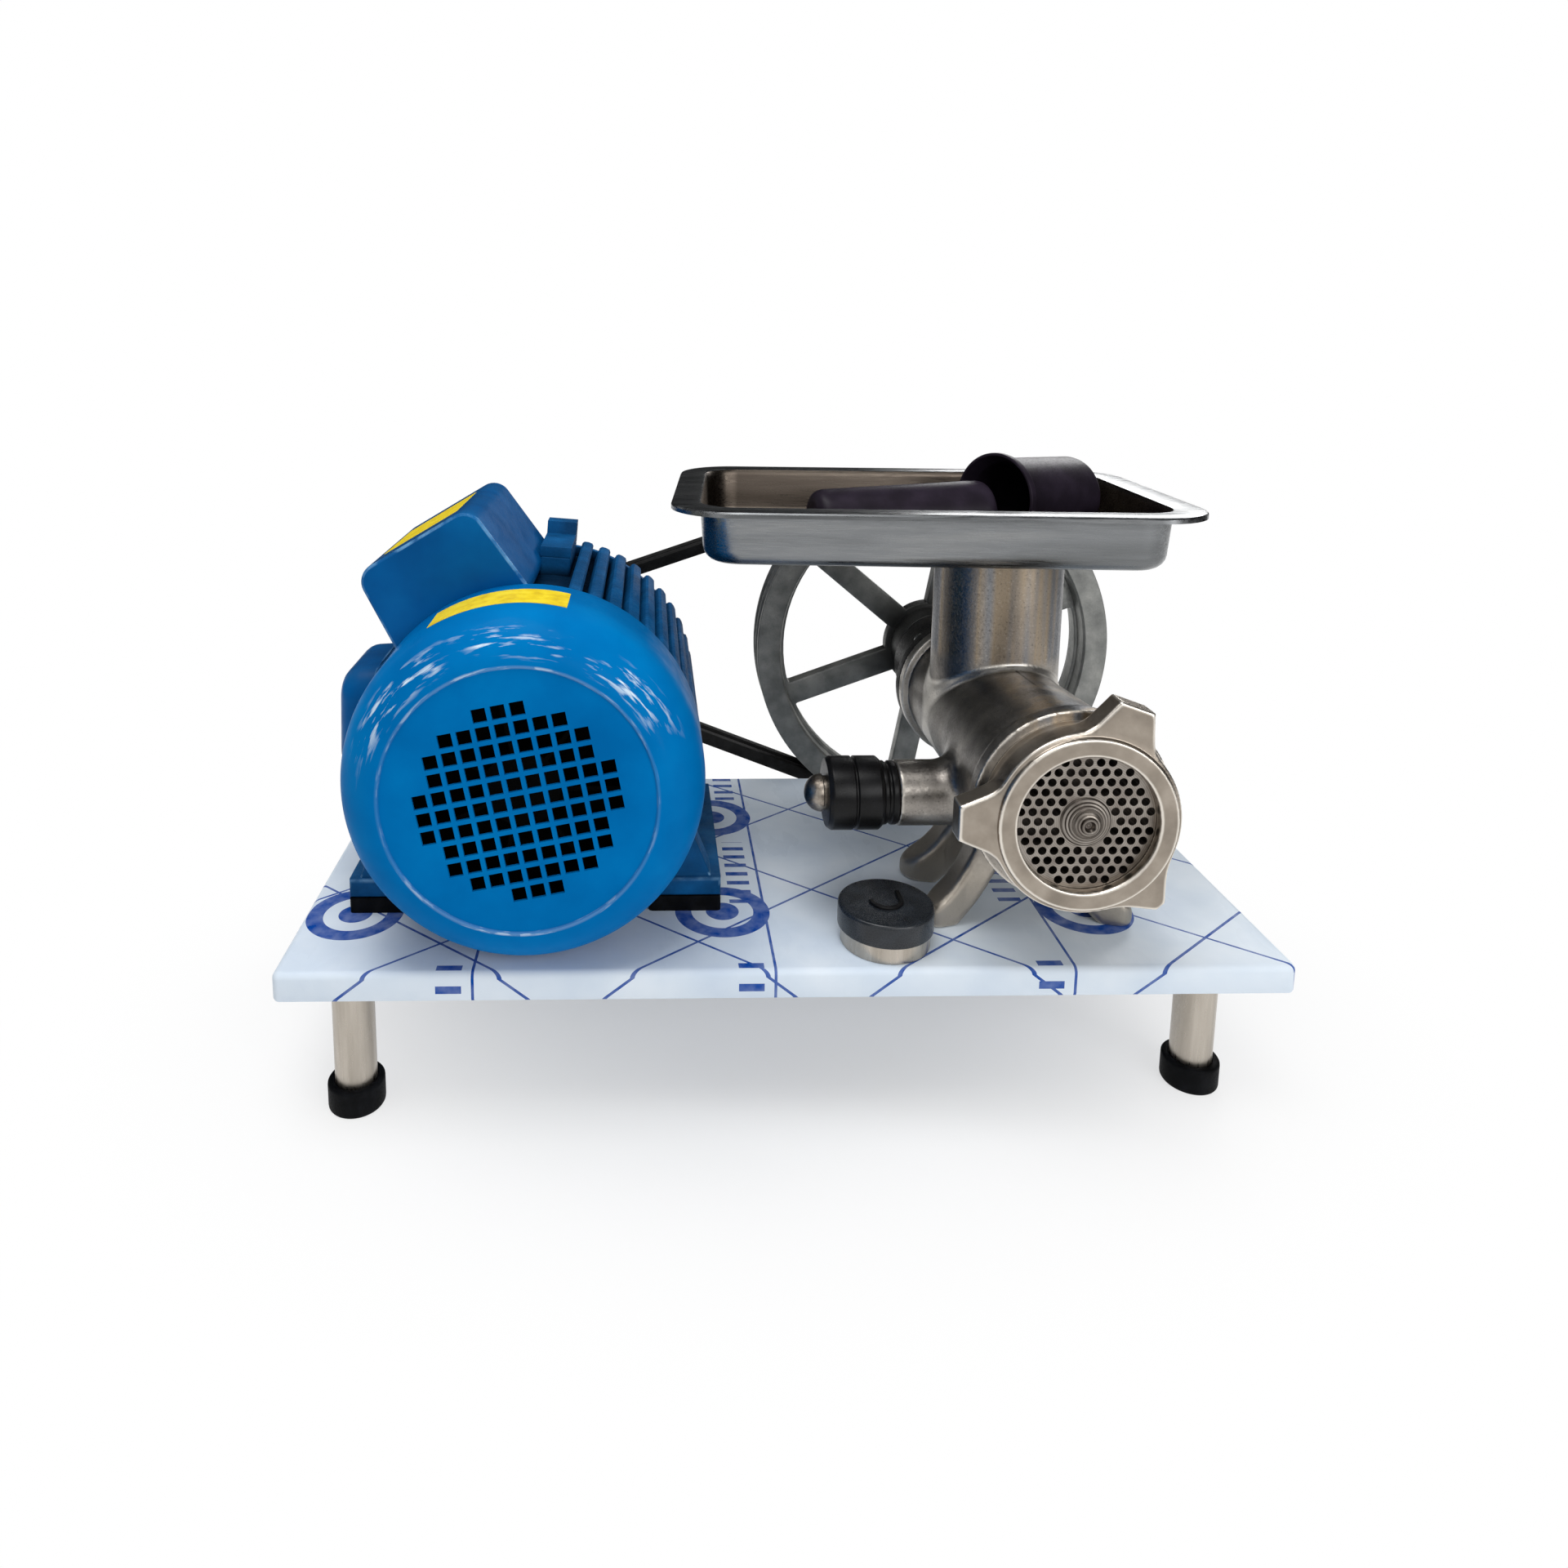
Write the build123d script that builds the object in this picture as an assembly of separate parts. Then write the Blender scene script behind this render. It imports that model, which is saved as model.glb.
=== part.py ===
from build123d import *
import math
import os

# Belt-driven electric meat grinder on a folded steel stand.
# Millimetres, +X to the operator's right, +Y to the back, +Z up.
# Drawn about the middle of the plate, with the floor at z = 0; at the end every
# piece is moved so that the origin lies under the middle of the whole machine.

# Clearances
fit = 0.05            # pieces pressed or screwed together
run = 0.05            # radial clearance of a turning shaft
gap = 0.3             # curved faces that move past each other

# Stand
plate_width = 600.0
plate_depth = 275.0
plate_height = 100.0      # top of the plate above the floor
plate_edge = 18.0         # height of the folded edge
plate_sheet = 2.0
plate_bend = 4.0          # outer radius of the folds
plate_corner = 5.0
plate_lip = 10.0          # return lip under the edge
leg_inset_x = 40.0
leg_inset_left = 25.0     # from the front and rear edges, left pair
leg_inset_right = 37.0
leg_radius = 12.5
leg_wall = 1.5
leg_flange_radius = 20.0
leg_flange_thick = 3.0
cap_radius = 17.0
cap_height = 25.0
cap_floor = 6.0
cap_bevel = 2.5

# Motor
motor_inset = 146.0       # shaft axis from the plate's left end
motor_clearance = 5.5     # from the lowest fins to the plate
motor_overhang = 14.5     # fan cover in front of the plate
cover_step = 0.3          # cover beyond the fins' tips
cover_length = 80.0
cover_wall = 2.0
cover_crown = 25.8        # from the cover's side in to its flat face
cover_shoulder = 33.6     # axial length of the rounded shoulder
cover_recess = 1.2        # vent field set back from the rim
cover_rim = 2.5
vent_hole = 8.0
vent_pitch = 10.6
vent_reach = 5.2          # radius of the vent field in pitches
vent_turn = 11.0
frame_length = 150.0
frame_core_radius = 92.0
frame_wall = 12.0
fin_count = 48
fin_height = 12.5
fin_root_width = 7.0
fin_tip_width = 5.2
foot_spread = 26.0        # foot's outer edge beyond the frame's core
foot_return = 28.0        # foot's inner edge within the frame's core
foot_thick = 12.0
foot_length = 148.0
foot_web = 29.6           # length of each of the two webs
foot_web_top = 40.0       # height below the axis where the foot web meets the frame
foot_hole_out = 3.0       # holes beyond the frame's core
foot_hole_y = 66.0        # hole spacing along the motor
pad_height = 10.0
pad_width = 46.0
foot_bolt_radius = 5.0
bolt_head_height = 6.5
bolt_head_radius = 8.5
shield_flange = 12.0
shield_spigot = 8.0
shield_hub_radius = 38.0
shield_wall = 4.0
rear_shield_step = 5.5    # within the fins' tips
bearing_outer_radius = 31.0
bearing_inner_radius = 15.0
bearing_width = 16.0
bearing_race = 4.5
rotor_seat_step = 3.0     # shaft thicker under the rotor than in the bearings
stator_wall = 30.0        # iron between the frame's bore and the rotor
rotor_air_gap = 0.6
core_setback = 30.0       # from the frame's ends to the iron cores
coil_length = 20.0
coil_clear = 5.4          # winding heads within the frame's bore
shaft_end_step = 1.0      # shaft thinner in the pulley than in the bearings
shaft_fan_step = 3.0
fan_clear = 20.8          # fan's edge within the cover's side
fan_hub_radius = 22.0
fan_blades = 7
fan_depth = 24.0
fan_plate = 3.0
fan_blade_thick = 2.5
fan_setback = 20.0        # from the cover's face to the blades

# Boxes on the motor
box_width = 86.0
box_length = 126.0
box_rise = 8.0            # box's lower edge above the frame's core
box_height = 56.0
box_corner = 20.0
box_crown = 14.0
box_draft = 5.0
box_wall = 2.0
box_setback = 0.5         # box behind the fan cover
box_lug_gap = 1.3         # from the box's lower edge round to the lug
box_seat_width = 62.0
box_seat_length = 96.0
capacitor_radius = 15.0
capacitor_length = 88.0
side_angle = 88.0
side_width = 76.0
side_length = 84.0
side_rise = 12.0          # lower edge above the frame's core
side_height = 24.0
side_corner = 20.0
side_crown = 16.0
side_setback = 22.0
side_capacitor_radius = 7.5
side_capacitor_length = 62.0
gland_radius = 10.0
gland_length = 22.0
lug_turn = -4.5
lug_width = 21.0
lug_length = 62.0
lug_rise = 7.0
lug_tab_rise = 16.0
lug_tab_length = 14.0
lug_eye_radius = 3.0
lug_setback = 8.0         # from the frame's rear end

# Belt drive
pulley_setback = 38.5     # plane of the belts behind the plate
groove_pitch = 15.0
groove_edge = 10.0
belt_width = 13.0
belt_height = 8.0
belt_proud = 0.5
belt_flank = 19.0
groove_floor = 2.0        # below the belt
motor_pulley_radius = 40.5
motor_hub_radius = 26.0
drive_pulley_radius = 147.5
drive_rim = 20.0
drive_web = 12.0
drive_hub_radius = 33.0
drive_hub_front = 12.0
spoke_count = 6
spoke_width = 14.0
spoke_phase = 20.0
spoke_fillet = 8.0
key_width = 8.0
key_height = 7.0

# Grinder
grinder_inset = 144.0     # auger axis from the plate's right end
grinder_height = 103.5    # auger axis above the plate
die_radius = 41.0
ring_wall = 5.8           # outside the thread
ring_length = 24.0
ring_lip = 6.0
ring_hold = 2.0           # lip over the die's edge
ring_bevel = 1.5
lug_angles = (70.0, 180.0, 316.0)
ring_lug_reach = 18.2     # beyond the ring
ring_lug_tip = 20.0
ring_lug_root = 40.0
ring_lug_thick = 18.0
ring_lug_round = 3.0
die_thick = 8.0
die_recess = 4.0
die_hole_radius = 2.25
die_hole_pitch = 6.5
die_hub_radius = 14.0
die_hub_rise = 1.5
die_rim = 3.0
die_notch = 2.0
knife_thick = 8.0
knife_clear = 1.5         # blade tips within the barrel's bore
knife_arm = 13.0
knife_hub = 14.0
knife_square = 14.0
thread_wall = 5.0         # outside the die
shoulder_step = 10.5      # outside the thread
shoulder_length = 10.0
bore_step = 1.5           # barrel's bore within the die's edge
barrel_wall = 12.5        # at the ring
barrel_end_wall = 6.5     # from the neck on
neck_setback = 172.5      # from the ring's face
neck_wall = 4.0
neck_step = 1.0           # throat within the barrel's bore
neck_top = 224.0          # above the plate
rear_flange_step = 5.0    # outside the barrel's rear
rear_flange_thick = 10.0
rear_wall = 14.0
body_rear = 232.0         # from the ring's face
boss_setback = 92.5
boss_drop = 21.0
boss_radius = 20.0
boss_reach = 84.8         # from the auger axis to the boss's end
toe_front = 84.0          # from the ring's face
toe_rear = 146.0
hip_front = 98.0
hip_rear = 134.0
toe_reach = 56.0
toe_radius = 10.0
toe_sink = 1.5            # flat worked on the toe's underside
hip_reach = 20.0
hip_drop = 44.0
hip_radius = 17.0
knee_reach = 33.0
knee_drop = 72.0
knee_radius = 13.0
toe_bolt_radius = 4.0
toe_bolt_depth = 14.0
auger_core = 18.0
auger_clear = 0.8
auger_turns = 3.5
flight_sector = 62.0
auger_stud_radius = 7.5
auger_stud_proud = 1.0
thrust_thick = 3.0
thrust_radius = 28.0
hub_gap = 20.5            # from the housing to the pulley's hub
housing_length = 64.0
housing_flange = 10.0
housing_bolt_inset = 6.0  # bolt circle within the flange
housing_bolts = 4
housing_bolt_radius = 2.5

# Side clamp
collar_length = 9.2
collar_radius = 19.5
knob_length = 34.0
knob_radius = 22.5
knob_groove = 1.2
knob_bevel = 2.0
dome_length = 13.0
dome_radius = 11.5
clamp_screw_radius = 6.0
clamp_screw_depth = 24.0

# Feed tray and pusher
tray_left = 56.8          # tray's middle left of the auger axis
tray_behind = 9.1         # tray's middle behind the neck's middle
tray_turn = -4.2
tray_length = 326.0
tray_width = 218.0
tray_rim = 18.0
tray_rim_corner = 40.0
tray_depth = 37.6
tray_draft = 4.0
tray_corner = 26.0
tray_bottom_round = 9.0
tray_sheet = 1.5
tray_edge_drop = 4.0
collar_depth = 26.0       # tray's collar down into the neck
pusher_right = 41.0       # pusher's thick end from the tray's middle
pusher_front = 26.6
pusher_turn = 9.1
pusher_length = 119.5
pusher_radius = 22.5
pusher_end_radius = 20.5
pusher_round = 9.0
sleeve_right = 47.1       # middle of the sleeve's mouth from the tray's middle
sleeve_front = 20.8
sleeve_turn = 33.0
sleeve_length = 80.0
sleeve_radius = 27.5
sleeve_wall = 3.0
sleeve_floor = 8.0
sleeve_flange_radius = 31.0
sleeve_flange_thick = 5.0

# Switch
switch_left = 94.0        # left of the auger axis
switch_inset = 31.5       # from the plate's front edge
switch_base_radius = 27.0
switch_base_height = 10.4
switch_cap_radius = 29.0
switch_cap_height = 14.4
switch_cap_round = 2.0
switch_spindle_radius = 4.0
switch_block = 42.0
switch_block_height = 15.0
switch_mark_width = 3.0
switch_mark_rise = 1.2
switch_mark_radius = 9.0

# Places that follow from the sizes above
plate_front = -plate_depth / 2
plate_back = plate_depth / 2
plate_under = plate_height - plate_sheet
leg_x = plate_width / 2 - leg_inset_x
left_leg_y = plate_depth / 2 - leg_inset_left
right_leg_y = plate_depth / 2 - leg_inset_right

fin_tip_radius = frame_core_radius + fin_height
frame_bore_radius = frame_core_radius - frame_wall
cover_radius = fin_tip_radius + cover_step
cover_face_radius = cover_radius - cover_crown
motor_height = fin_tip_radius + motor_clearance
motor_x = motor_inset - plate_width / 2
motor_z = plate_height + motor_height
cover_front = plate_front - motor_overhang
cover_back = cover_front + cover_length
frame_front = cover_back
frame_back = frame_front + frame_length
spigot_radius = frame_bore_radius - fit
rear_shield_radius = fin_tip_radius - rear_shield_step
rotor_radius = frame_bore_radius - stator_wall
rotor_seat_radius = bearing_inner_radius + rotor_seat_step
shaft_end_radius = bearing_inner_radius - shaft_end_step
shaft_fan_radius = bearing_inner_radius - shaft_fan_step
fan_radius = cover_radius - fan_clear
foot_half_width = frame_core_radius + foot_spread
foot_inner = frame_core_radius - foot_return
foot_hole_x = frame_core_radius + foot_hole_out
foot_front = frame_front + (frame_length - foot_length) / 2
foot_middle = foot_front + foot_length / 2
foot_top = pad_height + foot_thick + plate_height
front_bearing_y = frame_front - bearing_width
rear_bearing_y = frame_back
box_bottom = frame_core_radius + box_rise
side_bottom = frame_core_radius + side_rise
box_edge_radius = math.hypot(box_width / 2, box_bottom)
box_angle = lug_turn + math.degrees(math.asin(lug_width / 2 / box_edge_radius)
                                    + math.asin(box_width / 2 / box_edge_radius)
                                    + box_lug_gap / box_edge_radius)
belt_y = plate_back + pulley_setback
pulley_width = groove_pitch + 2 * groove_edge
pulley_front = belt_y - pulley_width / 2
pulley_back = belt_y + pulley_width / 2

grinder_x = plate_width / 2 - grinder_inset
grinder_z = plate_height + grinder_height
thread_radius = die_radius + thread_wall
ring_radius = thread_radius + ring_wall
ring_opening = die_radius - ring_hold
shoulder_radius = thread_radius + shoulder_step
barrel_bore = die_radius - bore_step
barrel_radius = barrel_bore + barrel_wall
barrel_end_radius = barrel_bore + barrel_end_wall
knife_reach = barrel_bore - knife_clear
neck_bore = barrel_bore - neck_step
neck_radius = neck_bore + neck_wall
rear_flange_radius = barrel_end_radius + rear_flange_step
housing_bolt_circle = rear_flange_radius - housing_bolt_inset
housing_radius = housing_bolt_circle - 2 * housing_bolt_radius - fit
auger_shaft_radius = bearing_inner_radius - run
drive_hub_y = pulley_front - drive_hub_front
housing_back = drive_hub_y - hub_gap
body_back = housing_back - housing_length
ring_front = body_back - body_rear
ring_back = ring_front + ring_length
die_front = ring_front + ring_lip + gap
die_back = die_front + die_thick
body_front = die_back - die_recess
knife_front = die_back + gap
auger_front = knife_front + knife_thick
shoulder_front = ring_back + gap
neck_y = ring_front + neck_setback
bore_back = body_back - rear_wall
auger_back = bore_back - thrust_thick - gap
tray_x = grinder_x - tray_left
tray_y = neck_y + tray_behind
tray_z = plate_height + neck_top
tray_floor = tray_z + tray_sheet
boss_y = ring_front + boss_setback
boss_z = grinder_z - boss_drop
boss_x = grinder_x - boss_reach
switch_x = grinder_x - switch_left
switch_y = plate_front + switch_inset


def turned(points, x, z):
    # A ring turned about an axis along Y, from (radius, y) corners.
    profile = make_face(Polyline(*points, close=True))
    return Pos(x, 0, z) * revolve(profile, Axis.Y)


def ring_y(outer, inner, y0, y1, x, z):
    return turned([(inner, y0), (outer, y0), (outer, y1), (inner, y1)], x, z)


def pin_x(radius, x0, x1, y, z):
    face = Plane((x0, y, z), z_dir=(1, 0, 0)) * Circle(radius)
    return extrude(face, x1 - x0)


def pin_z(radius, x, y, z0, z1):
    return Pos(x, y, z0) * extrude(Circle(radius), z1 - z0)


def hex_z(radius, x, y, z0, z1):
    return Pos(x, y, z0) * extrude(RegularPolygon(radius, 6), z1 - z0)


def front_view(sketch, x, z, y0, y1):
    # Extrudes a sketch drawn as seen from the front, from y0 back to y1.
    return Plane((x, y1, z), x_dir=(1, 0, 0), z_dir=(0, -1, 0)) * extrude(sketch, y1 - y0)


def on_motor(shape, angle):
    # Turns a shape built above the origin to the left about the motor's axis.
    return Pos(motor_x, 0, motor_z) * Rot(0, -angle, 0) * shape


def motor_hole_places():
    return [(motor_x + side * foot_hole_x, foot_middle + end * foot_hole_y / 2)
            for side in (-1, 1) for end in (-1, 1)]


def toe_places():
    return [(side, ring_front + hip, ring_front + toe)
            for side in (-1, 1) for hip, toe in ((hip_front, toe_front), (hip_rear, toe_rear))]


# Stand

def base_plate():
    low = plate_height - plate_edge
    blank = extrude(RectangleRounded(plate_width, plate_depth, plate_corner), plate_edge)
    blank = fillet(blank.faces().sort_by(Axis.Z)[-1].edges(), plate_bend)
    inside = extrude(RectangleRounded(plate_width - 2 * plate_sheet, plate_depth - 2 * plate_sheet,
                                      plate_corner - plate_sheet), plate_edge - 2 * plate_sheet)
    inside = fillet(inside.faces().sort_by(Axis.Z)[-1].edges(), plate_bend - plate_sheet)
    mouth = extrude(Rectangle(plate_width - 2 * plate_lip, plate_depth - 2 * plate_lip),
                    2 * plate_sheet)
    plate = Pos(0, 0, low) * (blank - Pos(0, 0, plate_sheet) * inside - mouth)
    for x, y in motor_hole_places():
        plate -= pin_z(foot_bolt_radius + gap, x, y, low, plate_height)
    for side, hip, toe in toe_places():
        plate -= pin_z(toe_bolt_radius + gap, grinder_x + side * toe_reach, toe, low, plate_height)
    return plate - pin_z(switch_spindle_radius + run, switch_x, switch_y, low, plate_height)


def leg(x, y):
    flange_z = plate_under - leg_flange_thick
    tube = pin_z(leg_radius, x, y, cap_floor, flange_z)
    tube -= pin_z(leg_radius - leg_wall, x, y, cap_floor, flange_z)
    return tube + pin_z(leg_flange_radius, x, y, flange_z, plate_under)


def foot_cap(x, y):
    bore = leg_radius + fit
    side = make_face(Polyline((0, 0), (cap_radius - cap_bevel / 2, 0), (cap_radius, cap_bevel / 2),
                              (cap_radius, cap_height - cap_bevel), (cap_radius - cap_bevel, cap_height),
                              (bore, cap_height), (bore, cap_floor), (0, cap_floor), close=True))
    return Pos(x, y, 0) * revolve(Plane.XZ * side, Axis.Z)


def motor_pads():
    pads = []
    for side in (-1, 1):
        x = motor_x + side * (foot_half_width - pad_width / 2)
        pad = Pos(x, foot_middle, plate_height + pad_height / 2) * Box(pad_width, foot_length, pad_height)
        pad = fillet(pad.edges().filter_by(Axis.Z), cap_bevel)
        for hole_x, hole_y in motor_hole_places():
            pad -= pin_z(foot_bolt_radius + gap, hole_x, hole_y, plate_height, foot_top)
        pads.append(pad)
    return Compound(pads)


def motor_fasteners():
    # Bolts down through feet, pads and plate, each with its nut below.
    pieces = []
    low = plate_under - bolt_head_height
    for x, y in motor_hole_places():
        shank = pin_z(foot_bolt_radius, x, y, low - bolt_head_height, foot_top)
        pieces.append(shank + hex_z(bolt_head_radius, x, y, foot_top, foot_top + bolt_head_height))
        pieces.append(hex_z(bolt_head_radius, x, y, low, plate_under)
                      - pin_z(foot_bolt_radius + fit, x, y, low, plate_under))
    return Compound(pieces)


def grinder_bolts():
    bolts = []
    for side, hip, toe in toe_places():
        x = grinder_x + side * toe_reach
        shank = pin_z(toe_bolt_radius, x, toe, plate_under, plate_height + toe_bolt_depth - gap)
        bolts.append(shank + hex_z(bolt_head_radius, x, toe, plate_under - bolt_head_height, plate_under))
    return Compound(bolts)


# Motor

def motor_frame():
    section = Circle(frame_core_radius)
    fin = make_face(Polyline((-fin_root_width / 2, frame_core_radius - fin_root_width),
                             (fin_root_width / 2, frame_core_radius - fin_root_width),
                             (fin_tip_width / 2, fin_tip_radius), (-fin_tip_width / 2, fin_tip_radius),
                             close=True))
    box_half = math.degrees(math.asin(box_width / 2 / frame_core_radius))
    side_half = math.degrees(math.asin(side_width / 2 / frame_core_radius))
    lug_half = math.degrees(math.asin(lug_width / 2 / frame_core_radius))
    for index in range(fin_count):
        angle = 360.0 * index / fin_count - 180.0
        under_box = abs(angle - box_angle) < box_half
        under_side = abs(angle - side_angle) < side_half
        under_lug = abs(angle - lug_turn) < lug_half
        if not (under_box or under_side or under_lug):
            section += Rot(0, 0, angle) * fin
    frame = front_view(section, motor_x, motor_z, frame_front, frame_back)
    base = pad_height - motor_height
    for side in (-1, 1):
        # The web's flanks run towards the axis, as the fins beside them do.
        foot = make_face(Polyline((side * foot_inner, base), (side * foot_half_width, base),
                                  (side * foot_half_width, base + foot_thick),
                                  (side * (foot_half_width - foot_thick / 2), base + foot_thick),
                                  (side * frame_core_radius, -foot_web_top), (0, 0), close=True))
        tab = make_face(Polyline((side * foot_inner, base), (side * foot_half_width, base),
                                 (side * foot_half_width, base + foot_thick),
                                 (side * foot_inner, base + foot_thick), close=True))
        frame += front_view(tab, motor_x, motor_z, foot_front, foot_front + foot_length)
        for start in (foot_front, foot_front + foot_length - foot_web):
            frame += front_view(foot, motor_x, motor_z, start, start + foot_web)
    seat = Pos(0, box_middle(), frame_bore_radius) * extrude(
        RectangleRounded(box_seat_width, box_seat_length, box_crown), box_bottom - frame_bore_radius)
    frame += on_motor(seat, box_angle)
    side_seat = Pos(0, side_middle(), frame_bore_radius) * extrude(
        RectangleRounded(side_width, side_length, side_corner), side_bottom - frame_bore_radius)
    frame += on_motor(side_seat, side_angle)
    lug_middle = frame_back - lug_setback - lug_length / 2
    lug_seat = Pos(0, lug_middle, frame_bore_radius) * extrude(
        Rectangle(lug_width, lug_length), fin_tip_radius - frame_bore_radius)
    frame += on_motor(lug_seat, lug_turn)
    frame -= ring_y(frame_bore_radius, 0, frame_front, frame_back, motor_x, motor_z)
    for x, y in motor_hole_places():
        frame -= pin_z(foot_bolt_radius + gap, x, y, plate_height, foot_top)
        frame -= pin_z(bolt_head_radius + gap, x, y, foot_top, foot_top + 2 * bolt_head_height)
    return frame


def lifting_lug():
    middle = frame_back - lug_setback - lug_length / 2
    bar = Pos(0, middle, fin_tip_radius) * extrude(Rectangle(lug_width, lug_length), lug_rise)
    tab_middle = middle + (lug_length - lug_tab_length) / 2
    tab = Pos(0, tab_middle, fin_tip_radius) * extrude(Rectangle(lug_width, lug_tab_length), lug_tab_rise)
    tab -= Pos(0, tab_middle, fin_tip_radius + (lug_rise + lug_tab_rise) / 2) * Rot(0, 90, 0) \
        * Cylinder(lug_eye_radius, lug_width)
    return on_motor(bar + tab, lug_turn)


def front_end_shield():
    hole = bearing_inner_radius + 2 * gap
    seat = bearing_outer_radius + fit
    flange = frame_front - shield_flange
    return turned([(hole, front_bearing_y - shield_wall), (shield_hub_radius, front_bearing_y - shield_wall),
                   (shield_hub_radius, flange), (cover_radius - cover_wall - fit, flange),
                   (cover_radius - cover_wall - fit, frame_front), (spigot_radius, frame_front),
                   (spigot_radius, frame_front + shield_spigot),
                   (spigot_radius - shield_spigot, frame_front + shield_spigot),
                   (spigot_radius - shield_spigot, frame_front), (seat, frame_front),
                   (seat, front_bearing_y), (hole, front_bearing_y)], motor_x, motor_z)


def rear_end_shield():
    hole = shaft_end_radius + 2 * gap
    seat = bearing_outer_radius + fit
    bearing_end = rear_bearing_y + bearing_width
    return turned([(seat, frame_back), (spigot_radius - shield_spigot, frame_back),
                   (spigot_radius - shield_spigot, frame_back - shield_spigot),
                   (spigot_radius, frame_back - shield_spigot), (spigot_radius, frame_back),
                   (rear_shield_radius, frame_back), (rear_shield_radius, frame_back + shield_flange / 2),
                   (shield_hub_radius, frame_back + shield_flange),
                   (shield_hub_radius, bearing_end + shield_wall), (hole, bearing_end + shield_wall),
                   (hole, bearing_end), (seat, bearing_end)], motor_x, motor_z)


def fan_cover():
    step = cover_radius - cover_face_radius
    round_radius = (step ** 2 + cover_shoulder ** 2) / (2 * step)
    middle = (cover_radius - round_radius, cover_front + cover_shoulder)

    def dome(wall):
        # The filled form inside the outer skin, a given wall further in.
        radius = round_radius - wall
        face_y = cover_front + wall
        face_edge = middle[0] + math.sqrt(radius ** 2 - (middle[1] - face_y) ** 2)
        start = math.degrees(math.asin((face_y - middle[1]) / radius))
        shoulder = CenterArc(middle, radius, start, -start)
        side = cover_radius - wall
        outline = [Line((0, face_y), (face_edge, face_y)), shoulder,
                   Line((side, middle[1]), (side, cover_back)), Line((side, cover_back), (0, cover_back)),
                   Line((0, cover_back), (0, face_y))]
        return Pos(motor_x, 0, motor_z) * revolve(make_face(outline), Axis.Y)

    cover = dome(0) - dome(cover_wall)
    field = cover_face_radius - cover_rim
    cover += ring_y(field, 0, cover_front + cover_recess, cover_front + cover_recess + cover_wall,
                    motor_x, motor_z)
    cover -= ring_y(field, 0, cover_front, cover_front + cover_recess, motor_x, motor_z)
    reach = range(-int(vent_reach), int(vent_reach) + 1)
    hole = Rectangle(vent_hole, vent_hole)
    holes = [Rot(0, 0, vent_turn) * Pos(column * vent_pitch, row * vent_pitch) * hole
             for row in reach for column in reach if math.hypot(row, column) <= vent_reach]
    return cover - front_view(Sketch() + holes, motor_x, motor_z, cover_front,
                              cover_front + cover_recess + 2 * cover_wall)


def fan_bore_front():
    # The hub is closed in front of the shaft's end.
    return cover_front + fan_setback + fan_plate


def cooling_fan():
    front = cover_front + fan_setback
    back = front + fan_depth
    wheel = Circle(fan_hub_radius)
    for index in range(fan_blades):
        wheel += Rot(0, 0, 360.0 * index / fan_blades) * Pos(fan_radius / 2, 0) \
            * Rectangle(fan_radius - 2 * fan_blade_thick, fan_blade_thick)
    fan = front_view(wheel, motor_x, motor_z, front, back)
    fan += ring_y(fan_radius, 0, back, back + fan_plate, motor_x, motor_z)
    return fan - ring_y(shaft_fan_radius + fit, 0, fan_bore_front(), back + fan_plate, motor_x, motor_z)


def motor_shaft():
    fan_end = fan_bore_front() + gap
    front_step = front_bearing_y - shield_wall
    rear_step = rear_bearing_y + bearing_width
    shaft = turned([(0, fan_end), (shaft_fan_radius, fan_end), (shaft_fan_radius, front_step),
                    (bearing_inner_radius - run, front_step), (bearing_inner_radius - run, frame_front),
                    (rotor_seat_radius, frame_front + run), (rotor_seat_radius, frame_back - run),
                    (bearing_inner_radius - run, frame_back), (bearing_inner_radius - run, rear_step),
                    (shaft_end_radius, rear_step), (shaft_end_radius, pulley_back), (0, pulley_back)],
                   motor_x, motor_z)
    return shaft - key_space(motor_x, motor_z, shaft_end_radius, fit)


def key_space(x, z, shaft_radius, clearance):
    # Key lying half in the shaft along the pulley's width.
    low = shaft_radius - key_height / 2 - clearance
    size = key_width + 2 * clearance
    return front_view(Pos(0, low + key_height / 2 + clearance)
                      * Rectangle(size, key_height + 2 * clearance), x, z, pulley_front, pulley_back)


def rotor_core():
    return ring_y(rotor_radius, rotor_seat_radius + fit, frame_front + core_setback,
                  frame_back - core_setback, motor_x, motor_z)


def stator_core():
    return ring_y(spigot_radius, rotor_radius + rotor_air_gap, frame_front + core_setback,
                  frame_back - core_setback, motor_x, motor_z)


def stator_windings():
    inner = rotor_radius + rotor_air_gap + cover_wall
    outer = spigot_radius - coil_clear
    coils = []
    for low in (frame_front + core_setback - coil_length, frame_back - core_setback):
        coil = ring_y(outer, inner, low, low + coil_length, motor_x, motor_z)
        coils.append(fillet(coil.edges(), coil_length / 5))
    return Compound(coils)


def bearing(y, x, z):
    # Deep-groove bearing: two races with a shielded gap between them.
    outer = bearing_outer_radius
    inner = bearing_inner_radius
    step = bearing_width / 8
    return turned([(inner, y), (inner + bearing_race, y), (inner + bearing_race, y + step),
                   (outer - bearing_race, y + step), (outer - bearing_race, y), (outer, y),
                   (outer, y + bearing_width), (outer - bearing_race, y + bearing_width),
                   (outer - bearing_race, y + bearing_width - step),
                   (inner + bearing_race, y + bearing_width - step),
                   (inner + bearing_race, y + bearing_width), (inner, y + bearing_width)], x, z)


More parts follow.
